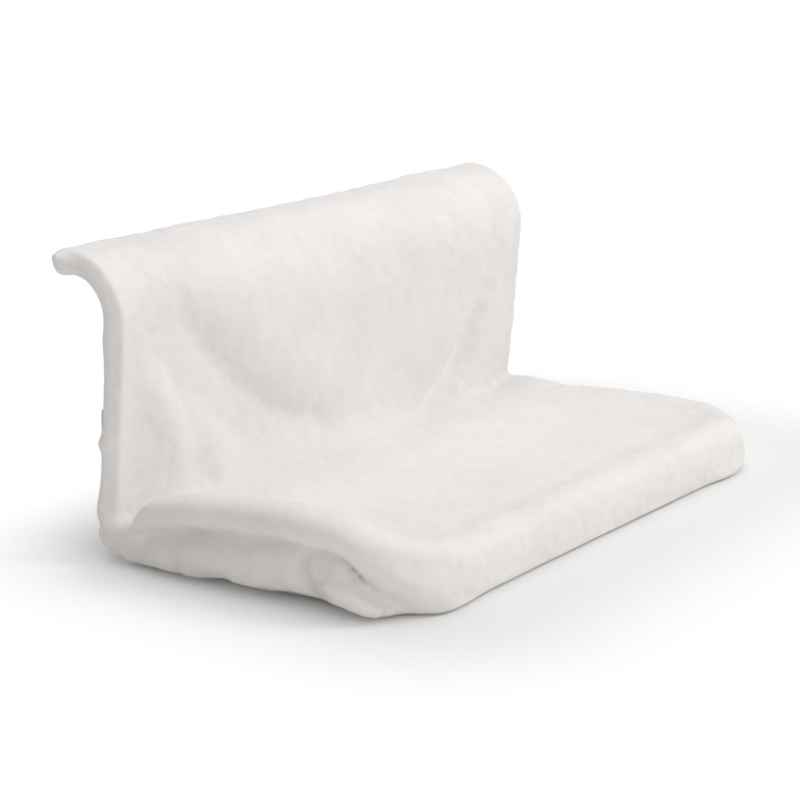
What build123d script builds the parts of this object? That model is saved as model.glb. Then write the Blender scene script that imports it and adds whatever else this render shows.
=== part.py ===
from build123d import *
import math
import os

# Radiator cat hammock: a plush cover drawn over an L-shaped tube frame that hangs from a panel radiator by two hooks.
# Millimetres. X runs across the hammock, +Y points at the radiator and +Z up. While the pieces are made, y = 0 is the
# corner where the centre lines of seat and back meet, and z = 0 is the plane of the seat tubes. At the end everything
# moves together, so that the origin is the middle of the underside.

# Frame
frame_width = 424.0
seat_depth = 210.0
back_height = 160.0
back_lean_degrees = 5.0
top_reach = 38.7
tube_diameter = 8.0
tube_wall = 1.0
bottom_bend_radius = 20.0
top_bend_radius = 32.0
corner_bend_radius = 58.0
leg_joint_height = 70.0
spigot_length = 25.0
spigot_clearance = 0.05
rear_bar_height = 30.0
cope_clearance = 0.05
plug_rim = 1.5
plug_depth = 10.0
plug_clearance = 0.1
joint_screw_diameter = 3.0
joint_screw_head_diameter = 5.5
joint_screw_head_height = 1.6
joint_nut_width = 5.5
joint_nut_height = 2.4
joint_hole_clearance = 0.1

# Hook rails
rail_from_leg = 117.0
rail_width = 24.0
rail_height = 8.0
rail_wall = 2.0
rail_bend_radius = 2.0
rail_end = 66.0
radiator_below_bar = 32.0
pad_floor = 3.0
pad_lip_wall = 1.8
pad_lip_height = 4.0
pad_length = 30.0
pad_corner_radius = 1.5
cheek_thickness = 3.0
cheek_depth = 12.0
cheek_over_bar = 2.0
cheek_corner_radius = 2.5

# Hooks
radiator_front = 16.0
thinnest_radiator = 56.0
hook_travel = 40.0
strap_width = 22.0
strap_thickness = 3.0
strap_gap = 0.3
strap_bend_radius = 5.5
strap_nose = 6.0
strap_nose_radius = 5.0
hook_leg_length = 56.0
hook_flare_length = 12.0
hook_flare_out = 4.0
sleeve_wall = 1.5
sleeve_top_below_strap = 14.0
sleeve_corner_radius = 1.2

# Clamps
bolt_diameter = 5.0
bolt_head_diameter = 12.0
bolt_head_height = 2.5
bolt_from_rail_end = 14.0
bolt_over_nut = 1.5
bolt_hole_clearance = 0.1
slot_clearance = 0.3
washer_diameter = 11.0
washer_thickness = 1.0
nut_base_diameter = 11.0
nut_top_diameter = 8.4
nut_hub_height = 7.5
nut_bore_clearance = 0.05
wing_span = 26.0
wing_height = 11.0
wing_tip_radius = 4.2
wing_root_radius = 2.0
wing_thickness = 2.6

# Bumpers
bumper_from_leg = 62.0
bumper_diameter = 22.0
bumper_thickness = 7.0
bumper_edge_radius = 1.5
bumper_neck_diameter = 9.6
bumper_screw_diameter = 4.0
bumper_screw_head_diameter = 7.6
bumper_screw_head_height = 2.4
bumper_screw_sink = 3.4
bumper_screw_length = 14.0
eyelet_outer_diameter = 15.0
eyelet_inner_diameter = 10.4
eyelet_thickness = 1.0

# Cover
cover_clearance = 0.2
plush_thickness = 3.4
back_plush_thickness = 4.6
seat_plush_thickness = 5.0
seat_plush_top = 8.5
seat_roll_radius = 15.5
left_side_height = 37.0
side_corner_radius = 12.0
bolster_width = 27.0
bolster_height = 25.0
bolster_corner_radius = 11.0
bolster_inset = 3.0
bolster_taper_degrees = 5.0
bolster_end_radius = 7.5
sleeve_end_radius = 6.0
edge_sleeve_start = 34.0
crook_radius = 24.0
lining_thickness = 1.2
closure_strip_thickness = 1.0
closure_strip_height = 18.0
closure_strip_inset = 8.0
closure_height = 58.0
lining_rise = 27.0
lining_lift = 13.0
lining_bend_radius = 10.0
rail_notch_clearance = 2.0
tie_width = 20.0
tie_thickness = 0.8

# Sizes that follow
lean = math.radians(back_lean_degrees)
tube_radius = tube_diameter / 2
bore_radius = tube_radius - tube_wall
half_width = frame_width / 2
cover_radius = tube_radius + cover_clearance + plush_thickness
panel_half_width = half_width - cover_radius - cover_clearance
cut_overrun = tube_diameter


def back_y(height, rear=0.0):
    """Y of the back's sloping plane at a height, moved a distance towards the radiator square to the slope."""
    return rear / math.cos(lean) - height * math.tan(lean)


def back_point(x, height, rear=0.0):
    """Point on the back's sloping plane."""
    return Vector(x, back_y(height, rear), height)


top_bar_y = back_y(back_height) + top_reach
bend_tangent = top_bend_radius / math.tan((math.pi / 2 - lean) / 2)
bend_centre_y = back_y(back_height) + bend_tangent
bend_centre_z = back_height - top_bend_radius
radiator_top = back_height - radiator_below_bar
rail_bottom = radiator_top + pad_floor
rail_top = rail_bottom + rail_height
tie_bar_z = rail_bottom + rail_height / 2
tie_bar_y = bend_centre_y - math.sqrt(top_bend_radius**2 - (tie_bar_z - bend_centre_z) ** 2)
strap_bottom = rail_top + strap_gap
strap_top = strap_bottom + strap_thickness
bolt_y = rail_end - bolt_from_rail_end
washer_bottom = strap_top + strap_gap
nut_bottom = washer_bottom + washer_thickness + strap_gap
hook_leg_y = radiator_front + thinnest_radiator + sleeve_wall + strap_thickness / 2
seat_bottom = -seat_roll_radius
side_start_y = -(seat_depth - corner_bend_radius)
rail_middle = half_width - rail_from_leg
bumper_middle = half_width - bumper_from_leg


def round_bar(path, radius, inner_radius=0.0):
    """Bar or tube of round section along a path."""
    section = Circle(radius)
    if inner_radius > 0:
        section = section - Circle(inner_radius)
    return sweep(Plane(path @ 0, z_dir=path % 0) * section, path=path)


def flat_band(path, width, thickness):
    """Flat band, its width along X, along a path in the YZ plane."""
    section = Plane(path @ 0, x_dir=(1, 0, 0), z_dir=path % 0) * Rectangle(width, thickness)
    return sweep(section, path=path)


def cross_rod(radius, length, y, z):
    """Rod along X with its middle over x = 0."""
    return Pos(0, y, z) * Rot(0, 90, 0) * Cylinder(radius, length)


def y_rod(radius, y_low, y_high, x, z):
    """Rod along Y between two places."""
    return Pos(x, (y_low + y_high) / 2, z) * Rot(90, 0, 0) * Cylinder(radius, y_high - y_low)


def z_rod(radius, z_low, z_high, x, y):
    """Rod along Z between two heights."""
    return Pos(x, y, (z_low + z_high) / 2) * Cylinder(radius, z_high - z_low)


def block(x_low, x_high, y_low, y_high, z_low, z_high):
    """Block between six planes."""
    middle = Pos((x_low + x_high) / 2, (y_low + y_high) / 2, (z_low + z_high) / 2)
    return middle * Box(x_high - x_low, y_high - y_low, z_high - z_low)


def side_path(x, start_height):
    """Centre line of an upper side tube, from a height on the leg to the top bar."""
    corner = back_point(x, back_height)
    end = Vector(x, top_bar_y, back_height)
    return FilletPolyline(back_point(x, start_height), corner, end, radius=top_bend_radius)


def back_band_path(rear, start_height):
    """Line of a cloth layer that follows the back and its top bend, moved towards the radiator by rear."""
    level = back_height - rear
    start = back_point(0, start_height, rear)
    return FilletPolyline(
        start, back_point(0, level, rear), Vector(0, top_bar_y, level), radius=top_bend_radius - rear
    )


def lower_tube_path():
    """Centre line of the lower frame tube, from leg to leg round the seat."""
    points = [
        back_point(-half_width, leg_joint_height),
        Vector(-half_width, 0, 0),
        Vector(-half_width, -seat_depth, 0),
        Vector(half_width, -seat_depth, 0),
        Vector(half_width, 0, 0),
        back_point(half_width, leg_joint_height),
    ]
    radii = [bottom_bend_radius, corner_bend_radius, corner_bend_radius, bottom_bend_radius]
    return FilletPolyline(*points, radius=radii)


def front_path():
    """Centre line of the front bar and its two corner bends."""
    reach = corner_bend_radius
    straight = half_width - reach
    lines = [
        CenterArc((-straight, side_start_y, 0), reach, 180, 90),
        Line((-straight, -seat_depth, 0), (straight, -seat_depth, 0)),
        CenterArc((straight, side_start_y, 0), reach, 270, 90),
    ]
    return Wire(lines)


def joint_place(x):
    """Frame across a leg at its joint, x towards the radiator."""
    middle = back_point(x, leg_joint_height - spigot_length / 2)
    return Plane(middle, x_dir=(0, math.cos(lean), math.sin(lean)), z_dir=(1, 0, 0))


def joint_bore(x):
    """Cross hole for the screw of a leg joint."""
    radius = joint_screw_diameter / 2 + joint_hole_clearance
    return joint_place(x) * Cylinder(radius, tube_diameter + cut_overrun)


def lower_frame_tube():
    """Front bar, side tubes and lower back legs, bent from one tube."""
    tube = round_bar(lower_tube_path(), tube_radius, bore_radius)
    return tube - joint_bore(-half_width) - joint_bore(half_width)


def side_tube(side):
    """Upper leg and top bend, with a swaged spigot that goes into the lower tube."""
    x = side * half_width
    tube = round_bar(side_path(x, leg_joint_height), tube_radius, bore_radius)
    tube -= cross_rod(tube_radius, frame_width + tube_diameter, top_bar_y, back_height)
    spigot_radius = bore_radius - spigot_clearance
    spigot = Line(back_point(x, leg_joint_height - spigot_length), back_point(x, leg_joint_height + tube_wall))
    tube += round_bar(spigot, spigot_radius, spigot_radius - tube_wall)
    shoulder = Line(back_point(x, leg_joint_height), back_point(x, leg_joint_height + tube_wall))
    tube += round_bar(shoulder, tube_radius, spigot_radius - tube_wall)
    return tube - joint_bore(x)


def top_bar():
    """Straight bar that the two top bends are welded to."""
    length = frame_width + tube_diameter
    bar = cross_rod(tube_radius, length, top_bar_y, back_height)
    return bar - cross_rod(bore_radius, length + cut_overrun, top_bar_y, back_height)


def top_bar_plugs():
    """Plug in each end of the top bar."""
    end = half_width + tube_radius
    plugs = []
    for side in (-1, 1):
        rim = Pos(side * (end + plug_rim / 2), 0, 0) * Rot(0, 90, 0) * Cylinder(tube_radius, plug_rim)
        stem_radius = bore_radius - plug_clearance
        stem = Pos(side * (end - plug_depth / 2), 0, 0) * Rot(0, 90, 0) * Cylinder(stem_radius, plug_depth)
        plugs.append(Pos(0, top_bar_y, back_height) * (rim + stem))
    return Compound(plugs)


def tie_bar():
    """Cross bar under the top bend, coped onto the side tubes."""
    bar = cross_rod(tube_radius, frame_width, tie_bar_y, tie_bar_z)
    bar -= cross_rod(bore_radius, frame_width + cut_overrun, tie_bar_y, tie_bar_z)
    for side in (-1, 1):
        bar -= round_bar(side_path(side * half_width, leg_joint_height), tube_radius + cope_clearance)
    return bar


def rear_cross_bar():
    """Cross bar between the lower legs, with threaded holes for the bumpers."""
    y = back_y(rear_bar_height)
    bar = cross_rod(tube_radius, frame_width, y, rear_bar_height)
    for side in (-1, 1):
        leg = Line(back_point(side * half_width, 0), back_point(side * half_width, leg_joint_height))
        bar -= round_bar(leg, tube_radius + cope_clearance)
        hole_radius = bumper_screw_diameter / 2 + joint_hole_clearance
        bar -= y_rod(hole_radius, y - bore_radius, y + cut_overrun, side * bumper_middle, rear_bar_height)
    return bar


def leg_joint_screws():
    """Screws through the leg joints, heads on the outer sides."""
    screws = []
    radius = joint_screw_diameter / 2
    for side in (-1, 1):
        length = tube_diameter + joint_nut_height
        shank = Pos(0, 0, -side * joint_nut_height / 2) * Cylinder(radius, length)
        head_z = side * (tube_radius + joint_screw_head_height / 2)
        head = Pos(0, 0, head_z) * Cylinder(joint_screw_head_diameter / 2, joint_screw_head_height)
        screws.append(joint_place(side * half_width) * (shank + head))
    return Compound(screws)


def leg_joint_nuts():
    """Hexagon nuts on the inner sides of the leg joints."""
    nuts = []
    for side in (-1, 1):
        profile = RegularPolygon(joint_nut_width / 2, 6, major_radius=False)
        profile -= Circle(joint_screw_diameter / 2 + joint_hole_clearance)
        nut = extrude(profile, joint_nut_height / 2, both=True)
        nut_z = -side * (tube_radius + joint_nut_height / 2)
        nuts.append(joint_place(side * half_width) * Pos(0, 0, nut_z) * nut)
    return Compound(nuts)


def rail_x(side):
    """Middle of a rail."""
    return side * rail_middle


def hook_rail(side):
    """Folded channel from the tie bar to beyond the top bar, held under that bar by two cheeks."""
    x = rail_x(side)
    half = rail_width / 2
    channel = block(x - half, x + half, tie_bar_y, rail_end, rail_bottom, rail_top)
    folds = channel.edges().filter_by(Axis.Y).group_by(Axis.Z)[-1]
    channel = fillet(folds, rail_bend_radius)
    inner = half - rail_wall
    channel -= block(
        x - inner, x + inner, tie_bar_y - cut_overrun, rail_end + cut_overrun,
        rail_bottom - cut_overrun, rail_top - rail_wall,
    )
    neck = bolt_diameter + 2 * bolt_hole_clearance
    channel -= block(x - neck / 2, x + neck / 2, bolt_y - neck / 2, bolt_y + neck / 2, rail_bottom, rail_top + neck)
    for hand in (-1, 1):
        near = x + hand * half
        far = near + hand * cheek_thickness
        cheek = block(
            min(near, far), max(near, far), top_bar_y - cheek_depth / 2, top_bar_y + cheek_depth / 2,
            rail_bottom, back_height + cheek_over_bar,
        )
        channel += fillet(cheek.edges().filter_by(Axis.X).group_by(Axis.Z)[-1], cheek_corner_radius)
    channel -= cross_rod(tube_radius, frame_width, tie_bar_y, tie_bar_z)
    return channel - cross_rod(tube_radius, frame_width, top_bar_y, back_height)


def rail_pad(side):
    """Rubber pad pushed over the flanges of a rail, which lies on the radiator."""
    x = rail_x(side)
    half = rail_width / 2 + pad_lip_wall
    y_high = rail_end - pad_floor
    y_low = y_high - pad_length
    pad = block(x - half, x + half, y_low, y_high, radiator_top, rail_bottom + pad_lip_height)
    pad = fillet(pad.edges().filter_by(Axis.Z), pad_corner_radius)
    inner = rail_width / 2
    pad -= block(x - inner, x + inner, y_low - cut_overrun, y_high + cut_overrun, rail_bottom, rail_top)
    return pad


def hook_path(x):
    """Middle line of a hook: forwards over the rail, round the bend, down behind the radiator and out."""
    z = strap_bottom + strap_thickness / 2
    nose_y = bolt_y - hook_travel - bolt_diameter / 2 - slot_clearance - strap_nose
    foot_z = radiator_top - hook_leg_length + hook_flare_length
    points = [
        Vector(x, nose_y, z),
        Vector(x, hook_leg_y, z),
        Vector(x, hook_leg_y, foot_z),
        Vector(x, hook_leg_y + hook_flare_out, foot_z - hook_flare_length),
    ]
    return FilletPolyline(*points, radius=strap_bend_radius)


def radiator_hook(side):
    """Flat hook with the long slot that its clamp bolt passes through."""
    x = rail_x(side)
    hook = flat_band(hook_path(x), strap_width, strap_thickness)
    nose = hook.edges().filter_by(Axis.Z).group_by(Axis.Y)[0]
    hook = fillet(nose, strap_nose_radius)
    slot_radius = bolt_diameter / 2 + slot_clearance
    slot_front = bolt_y - hook_travel
    hook -= z_rod(slot_radius, strap_bottom - cut_overrun, strap_top + cut_overrun, x, slot_front)
    hook -= z_rod(slot_radius, strap_bottom - cut_overrun, strap_top + cut_overrun, x, bolt_y)
    return hook - block(
        x - slot_radius, x + slot_radius, slot_front, bolt_y, strap_bottom - cut_overrun, strap_top + cut_overrun
    )


def hook_sleeve(side):
    """Soft sleeve pushed over the leg of a hook, closed at its foot."""
    x = rail_x(side)
    foot_z = radiator_top - hook_leg_length + hook_flare_length
    slope = Vector(0, hook_flare_out, -hook_flare_length).normalized() * sleeve_wall
    points = [
        Vector(x, hook_leg_y, strap_bottom - sleeve_top_below_strap),
        Vector(x, hook_leg_y, foot_z),
        Vector(x, hook_leg_y + hook_flare_out, foot_z - hook_flare_length) + slope,
    ]
    path = FilletPolyline(*points, radius=strap_bend_radius)
    outline = RectangleRounded(
        strap_width + 2 * sleeve_wall, strap_thickness + 2 * sleeve_wall, sleeve_corner_radius
    )
    sleeve = sweep(Plane(path @ 0, x_dir=(1, 0, 0), z_dir=path % 0) * outline, path=path)
    return sleeve - flat_band(hook_path(x), strap_width, strap_thickness)


def clamp_bolt(side):
    """Carriage bolt: domed head under the rail, square neck in it, shank up through the hook."""
    x = rail_x(side)
    web_bottom = rail_top - rail_wall
    head_radius = bolt_head_diameter / 2
    dome_radius = (head_radius**2 + bolt_head_height**2) / (2 * bolt_head_height)
    dome = Pos(x, bolt_y, web_bottom - bolt_head_height + dome_radius) * Sphere(dome_radius)
    head = dome & z_rod(head_radius, web_bottom - bolt_head_height, web_bottom, x, bolt_y)
    half = bolt_diameter / 2
    neck = block(x - half, x + half, bolt_y - half, bolt_y + half, web_bottom, rail_top)
    shank = z_rod(half, web_bottom, nut_bottom + nut_hub_height + bolt_over_nut, x, bolt_y)
    return head + neck + shank


def clamp_washers():
    """Washer on each hook, under the wing nut."""
    washers = []
    for side in (-1, 1):
        disc = z_rod(washer_diameter / 2, washer_bottom, washer_bottom + washer_thickness, rail_x(side), bolt_y)
        bore = bolt_diameter / 2 + nut_bore_clearance
        washers.append(disc - z_rod(bore, washer_bottom - cut_overrun, strap_top + cut_overrun, rail_x(side), bolt_y))
    return Compound(washers)


def wing_nut(side):
    """Wing nut: tapered hub with two upswept wings."""
    tip = Pos(wing_span / 2 - wing_tip_radius, wing_height - wing_tip_radius) * Circle(wing_tip_radius)
    root = Pos(wing_root_radius, wing_root_radius) * Circle(wing_root_radius)
    wing = extrude(Plane.XZ * make_hull(tip.edges() + root.edges()), wing_thickness / 2, both=True)
    hub = Pos(0, 0, nut_hub_height / 2) * Cone(nut_base_diameter / 2, nut_top_diameter / 2, nut_hub_height)
    nut = hub + wing + mirror(wing, Plane.YZ)
    nut -= Cylinder(bolt_diameter / 2 + nut_bore_clearance, wing_height + cut_overrun + wing_height)
    return Pos(rail_x(side), bolt_y, nut_bottom) * nut


def bumper_face_front():
    """Y where the wide part of a bumper starts."""
    return radiator_front - bumper_thickness


def bumper(side):
    """Rubber bumper on the rear cross bar, its neck through the lining."""
    x = side * bumper_middle
    z = rear_bar_height
    body = y_rod(bumper_diameter / 2, bumper_face_front(), radiator_front, x, z)
    body = fillet(body.edges().filter_by(GeomType.CIRCLE), bumper_edge_radius)
    body += y_rod(bumper_neck_diameter / 2, back_y(z), bumper_face_front() + bumper_edge_radius, x, z)
    body -= cross_rod(tube_radius, frame_width, back_y(z), z)
    bore = bumper_screw_diameter / 2 + joint_hole_clearance
    body -= y_rod(bore, back_y(z), radiator_front, x, z)
    sink = bumper_screw_head_diameter / 2 + joint_hole_clearance
    return body - y_rod(sink, radiator_front - bumper_screw_sink, radiator_front, x, z)


def bumper_screws():
    """Screws that hold the bumpers, heads sunk in the rubber."""
    screws = []
    for side in (-1, 1):
        seat = radiator_front - bumper_screw_sink
        x = side * bumper_middle
        head = y_rod(bumper_screw_head_diameter / 2, seat, seat + bumper_screw_head_height, x, rear_bar_height)
        shank = y_rod(bumper_screw_diameter / 2, seat - bumper_screw_length, seat, x, rear_bar_height)
        screws.append(head + shank)
    return Compound(screws)


def lining_rear():
    """Distance of the seat lining's rear face behind the plane of the legs."""
    return back_lining_rear() + 2 * closure_strip_thickness + lining_thickness


def back_lining_rear():
    """Distance of the back lining's rear face behind the plane of the legs."""
    return tube_radius + tie_thickness + cover_clearance + lining_thickness


def lining_eyelets():
    """Metal rings in the lining round the bumper necks."""
    rings = []
    for side in (-1, 1):
        middle = back_point(side * bumper_middle, rear_bar_height, lining_rear() + eyelet_thickness / 2)
        place = Plane(middle, x_dir=(1, 0, 0), z_dir=(0, math.cos(lean), math.sin(lean)))
        ring = Cylinder(eyelet_outer_diameter / 2, eyelet_thickness)
        ring -= Cylinder(eyelet_inner_diameter / 2, eyelet_thickness + cut_overrun)
        rings.append(place * ring)
    return Compound(rings)


def hem_envelope(clearance=0.0):
    """Space that the hem round the top bar takes."""
    length = frame_width + tube_diameter + 2 * (plug_rim + cover_clearance + plush_thickness)
    return cross_rod(cover_radius + clearance, length, top_bar_y, back_height)


def top_hem_roll():
    """Plush hem drawn over the top bar, open below where the cheeks of the rails pass."""
    hem = hem_envelope()
    pocket = frame_width + tube_diameter + 2 * (plug_rim + cover_clearance)
    hem -= cross_rod(tube_radius + cover_clearance, pocket, top_bar_y, back_height)
    for side in (-1, 1):
        hem -= rail_notch(side, back_height + cheek_over_bar + cover_clearance)
        hem -= round_bar(side_path(side * half_width, leg_joint_height), tube_radius + 2 * cover_clearance)
    return hem


def rail_notch(side, top):
    """Space kept open round a rail and its cheeks, up to a height."""
    half = rail_width / 2 + cheek_thickness + rail_notch_clearance
    x = rail_x(side)
    return block(
        x - half, x + half, tie_bar_y, rail_end, rail_bottom - rail_notch_clearance, top
    )


def edge_sleeve(side):
    """Plush round one side of the frame, from the rear of the seat through the crook to the top bar."""
    x = side * half_width
    points = [
        Vector(x, -edge_sleeve_start, 0),
        Vector(x, 0, 0),
        back_point(x, back_height),
        Vector(x, top_bar_y, back_height),
    ]
    path = FilletPolyline(*points, radius=[bottom_bend_radius, top_bend_radius])
    sleeve = round_bar(path, cover_radius, tube_radius + cover_clearance)
    for height, y in ((tie_bar_z, tie_bar_y), (rear_bar_height, back_y(rear_bar_height))):
        sleeve -= cross_rod(tube_radius + 2 * cover_clearance, frame_width, y, height)
    joint_reach = tube_diameter + 2 * joint_nut_height
    sleeve -= joint_place(x) * Cylinder(joint_nut_width / math.sqrt(3) + cover_clearance, joint_reach)
    return sleeve - hem_envelope(cover_clearance)


def back_plush_panel():
    """Plush front of the back, curved forwards into the crook at its foot and over the top bend."""
    rear = -(tube_radius + cover_clearance + back_plush_thickness / 2)
    foot_z = seat_plush_top - back_plush_thickness / 2
    points = [
        Vector(0, -edge_sleeve_start, foot_z),
        back_point(0, foot_z, rear),
        back_point(0, back_height - rear, rear),
        Vector(0, top_bar_y, back_height - rear),
    ]
    path = FilletPolyline(*points, radius=[crook_radius - back_plush_thickness, top_bend_radius - rear])
    return flat_band(path, 2 * panel_half_width, back_plush_thickness) - hem_envelope(cover_clearance)


def side_sleeve(side, height):
    """Plush and wadding round one side tube of the seat."""
    section = Pos(0, seat_bottom + height / 2) * RectangleRounded(2 * seat_roll_radius, height, side_corner_radius)
    section -= Circle(tube_radius + cover_clearance)
    place = Plane((side * half_width, -edge_sleeve_start, 0), x_dir=(1, 0, 0), z_dir=(0, -1, 0))
    sleeve = extrude(place * section, -side_start_y - edge_sleeve_start)
    rear = sleeve.faces().sort_by(Axis.Y)[-1]
    return fillet(rear.outer_wire().edges(), sleeve_end_radius)


def left_bolster():
    """Loose roll of plush and wadding that stands on the left side of the seat."""
    x = -half_width - seat_roll_radius + bolster_inset + bolster_width / 2
    z = seat_bottom + left_side_height + bolster_height / 2
    section = RectangleRounded(bolster_width, bolster_height, bolster_corner_radius)
    place = Plane((x, -edge_sleeve_start, z), x_dir=(1, 0, 0), z_dir=(0, -1, 0))
    length = -side_start_y - edge_sleeve_start
    roll = extrude(place * section, length)
    end = Plane((x, side_start_y, z), x_dir=(1, 0, 0), z_dir=(0, -1, 0))
    nose = extrude(end * section, corner_bend_radius / 2, taper=bolster_taper_degrees)
    bolster = roll + nose
    ends = bolster.faces().sort_by(Axis.Y)
    return fillet(ends[0].edges() + ends[-1].edges(), bolster_end_radius)


def front_roll():
    """Plush and wadding round the front bar and its corner bends."""
    return round_bar(front_path(), seat_roll_radius, tube_radius + cover_clearance)


def seat_outline(rear_y, inset):
    """Plan of the seat inside its side sleeves, its front corners rounded."""
    half = half_width - seat_roll_radius - inset
    front = -(seat_depth - seat_roll_radius - inset)
    plan = Pos(0, (rear_y + front) / 2) * Rectangle(2 * half, rear_y - front)
    front_corners = plan.vertices().group_by(Axis.Y)[0]
    return fillet(front_corners, corner_bend_radius - seat_roll_radius - inset)


def seat_plush_panel():
    """Thick plush top of the seat."""
    plan = seat_outline(-edge_sleeve_start, cover_clearance)
    return extrude(Pos(0, 0, seat_plush_top - seat_plush_thickness) * plan, seat_plush_thickness)


def seat_padding():
    """Wadding between the plush top and the lining of the seat."""
    low = seat_bottom + lining_thickness
    plan = seat_outline(-edge_sleeve_start, cover_clearance)
    return extrude(Pos(0, 0, low) * plan, seat_plush_top - seat_plush_thickness - low)


def seat_lining():
    """Woven underside of the seat, which turns up behind the crook to the closure."""
    rear = lining_rear() - lining_thickness / 2
    low = seat_bottom + lining_thickness / 2
    crook = back_point(0, seat_bottom + lining_lift, rear)
    points = [
        Vector(0, -(seat_depth - corner_bend_radius), low),
        Vector(0, crook.Y - lining_rise, low),
        crook,
        back_point(0, closure_height + closure_strip_height, rear),
    ]
    path = FilletPolyline(*points, radius=lining_bend_radius)
    sheet = flat_band(path, 2 * (half_width - seat_roll_radius - cover_clearance), lining_thickness)
    front = seat_outline(side_start_y, cover_clearance)
    sheet += extrude(Pos(0, 0, seat_bottom) * front, lining_thickness)
    for side in (-1, 1):
        sheet -= y_rod(eyelet_inner_diameter / 2, back_y(rear_bar_height), cut_overrun + radiator_front,
                       side * bumper_middle, rear_bar_height)
    return sheet


def back_lining():
    """Woven rear of the back, up to the hem, with openings for the rails."""
    rear = back_lining_rear() - lining_thickness / 2
    sheet = flat_band(back_band_path(rear, closure_height), 2 * panel_half_width, lining_thickness)
    for side in (-1, 1):
        sheet -= rail_notch(side, back_height)
    return sheet - hem_envelope(cover_clearance)


def closure_strip(layer):
    """One half of the hook and loop closure between the two linings, counted from the back lining."""
    rear = back_lining_rear() + (layer + 1 / 2) * closure_strip_thickness
    low = back_point(0, closure_height, rear)
    high = back_point(0, closure_height + closure_strip_height, rear)
    return flat_band(Line(low, high), 2 * (panel_half_width - closure_strip_inset), closure_strip_thickness)


def crook_tie():
    """Webbing sewn to the rear of the plush, which holds the cover to the rear cross bar."""
    y = back_y(rear_bar_height)
    reach = tube_radius + (cover_clearance + tie_thickness) / 2
    front = y - tube_radius - back_plush_thickness / 2
    lines = [
        Line((0, front, rear_bar_height + reach), (0, y, rear_bar_height + reach)),
        Plane.YZ * Pos(y, rear_bar_height) * CenterArc((0, 0), reach, 90, -180),
        Line((0, y, rear_bar_height - reach), (0, front, rear_bar_height - reach)),
    ]
    return flat_band(Wire(lines), tie_width, tie_thickness) - back_plush_panel()


def all_pieces():
    """Every node's name and shape."""
    pieces = {
        "lower_frame_tube": lower_frame_tube(),
        "left_side_tube": side_tube(-1),
        "right_side_tube": side_tube(1),
        "top_bar": top_bar(),
        "top_bar_plugs": top_bar_plugs(),
        "tie_bar": tie_bar(),
        "rear_cross_bar": rear_cross_bar(),
        "leg_joint_screws": leg_joint_screws(),
        "leg_joint_nuts": leg_joint_nuts(),
        "clamp_washers": clamp_washers(),
        "bumper_screws": bumper_screws(),
        "lining_eyelets": lining_eyelets(),
        "top_hem_roll": top_hem_roll(),
        "back_plush_panel": back_plush_panel(),
        "left_side_sleeve": side_sleeve(-1, left_side_height),
        "right_side_sleeve": side_sleeve(1, 2 * seat_roll_radius),
        "left_bolster": left_bolster(),
        "front_roll": front_roll(),
        "seat_plush_panel": seat_plush_panel(),
        "seat_padding": seat_padding(),
        "seat_lining": seat_lining(),
        "back_lining": back_lining(),
        "closure_loop_strip": closure_strip(0),
        "closure_hook_strip": closure_strip(1),
        "crook_tie": crook_tie(),
    }
    for name, side in (("left", -1), ("right", 1)):
        pieces["hook_rail_" + name] = hook_rail(side)
        pieces["rail_pad_" + name] = rail_pad(side)
        pieces["radiator_hook_" + name] = radiator_hook(side)
        pieces["hook_sleeve_" + name] = hook_sleeve(side)
        pieces["clamp_bolt_" + name] = clamp_bolt(side)
        pieces["wing_nut_" + name] = wing_nut(side)
        pieces["bumper_" + name] = bumper(side)
        pieces[name + "_edge_sleeve"] = edge_sleeve(side)
    return pieces


def main():
    """Moves the pieces to the part's origin and writes one file for each."""
    os.makedirs("parts", exist_ok=True)
    pieces = all_pieces()
    box = Compound(list(pieces.values())).bounding_box()
    shift = Pos(-box.center().X, -box.center().Y, -box.min.Z)
    print("box", box.min, box.max)
    for name, shape in pieces.items():
        export_step(shift * shape, "parts/" + name + ".step")


main()
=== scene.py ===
"""Radiator cat hammock: a plush cover, its linings and its seams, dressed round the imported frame.

Sizes inside the classes are millimetres in the hammock's own axes: X across, +Y towards the radiator, +Z up,
with y = 0 at the corner where the centre lines of seat and back meet and z = 0 in the plane of the seat's
tubes. Meshes are moved to the frame's origin and to metres when they are made. The studio's sizes are metres.
"""

import logging
import math
from collections.abc import Callable, Iterable, Sequence
from dataclasses import dataclass
from enum import Enum
from functools import cache

import bpy
import numpy as np
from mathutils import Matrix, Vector
from mathutils.kdtree import KDTree


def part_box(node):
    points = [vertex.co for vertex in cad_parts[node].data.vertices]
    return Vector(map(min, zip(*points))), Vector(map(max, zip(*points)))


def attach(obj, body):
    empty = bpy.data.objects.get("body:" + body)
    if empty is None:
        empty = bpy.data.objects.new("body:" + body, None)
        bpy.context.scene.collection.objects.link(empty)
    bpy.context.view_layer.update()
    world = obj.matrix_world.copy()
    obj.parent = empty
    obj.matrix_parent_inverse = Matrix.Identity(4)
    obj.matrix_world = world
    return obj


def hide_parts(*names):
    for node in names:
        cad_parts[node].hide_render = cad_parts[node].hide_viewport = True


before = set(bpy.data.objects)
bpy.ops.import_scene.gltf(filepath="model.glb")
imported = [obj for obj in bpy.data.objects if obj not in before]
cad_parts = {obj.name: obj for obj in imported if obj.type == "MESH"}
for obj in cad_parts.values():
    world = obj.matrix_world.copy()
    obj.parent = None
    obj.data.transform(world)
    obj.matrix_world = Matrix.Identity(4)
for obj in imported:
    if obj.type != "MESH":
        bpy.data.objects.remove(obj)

Array = np.ndarray
Axes = Sequence[np.ndarray]
Span = tuple[float, float]
Place = tuple[float, float, float]
Row = tuple[float, ...]
Piece = bpy.types.Object
Tree = bpy.types.NodeTree
Node = bpy.types.Node
Socket = bpy.types.NodeSocket

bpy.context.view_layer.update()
LOG = logging.getLogger("hammock")
MM = 0.001
WHITE = "#FFFFFF"

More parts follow.
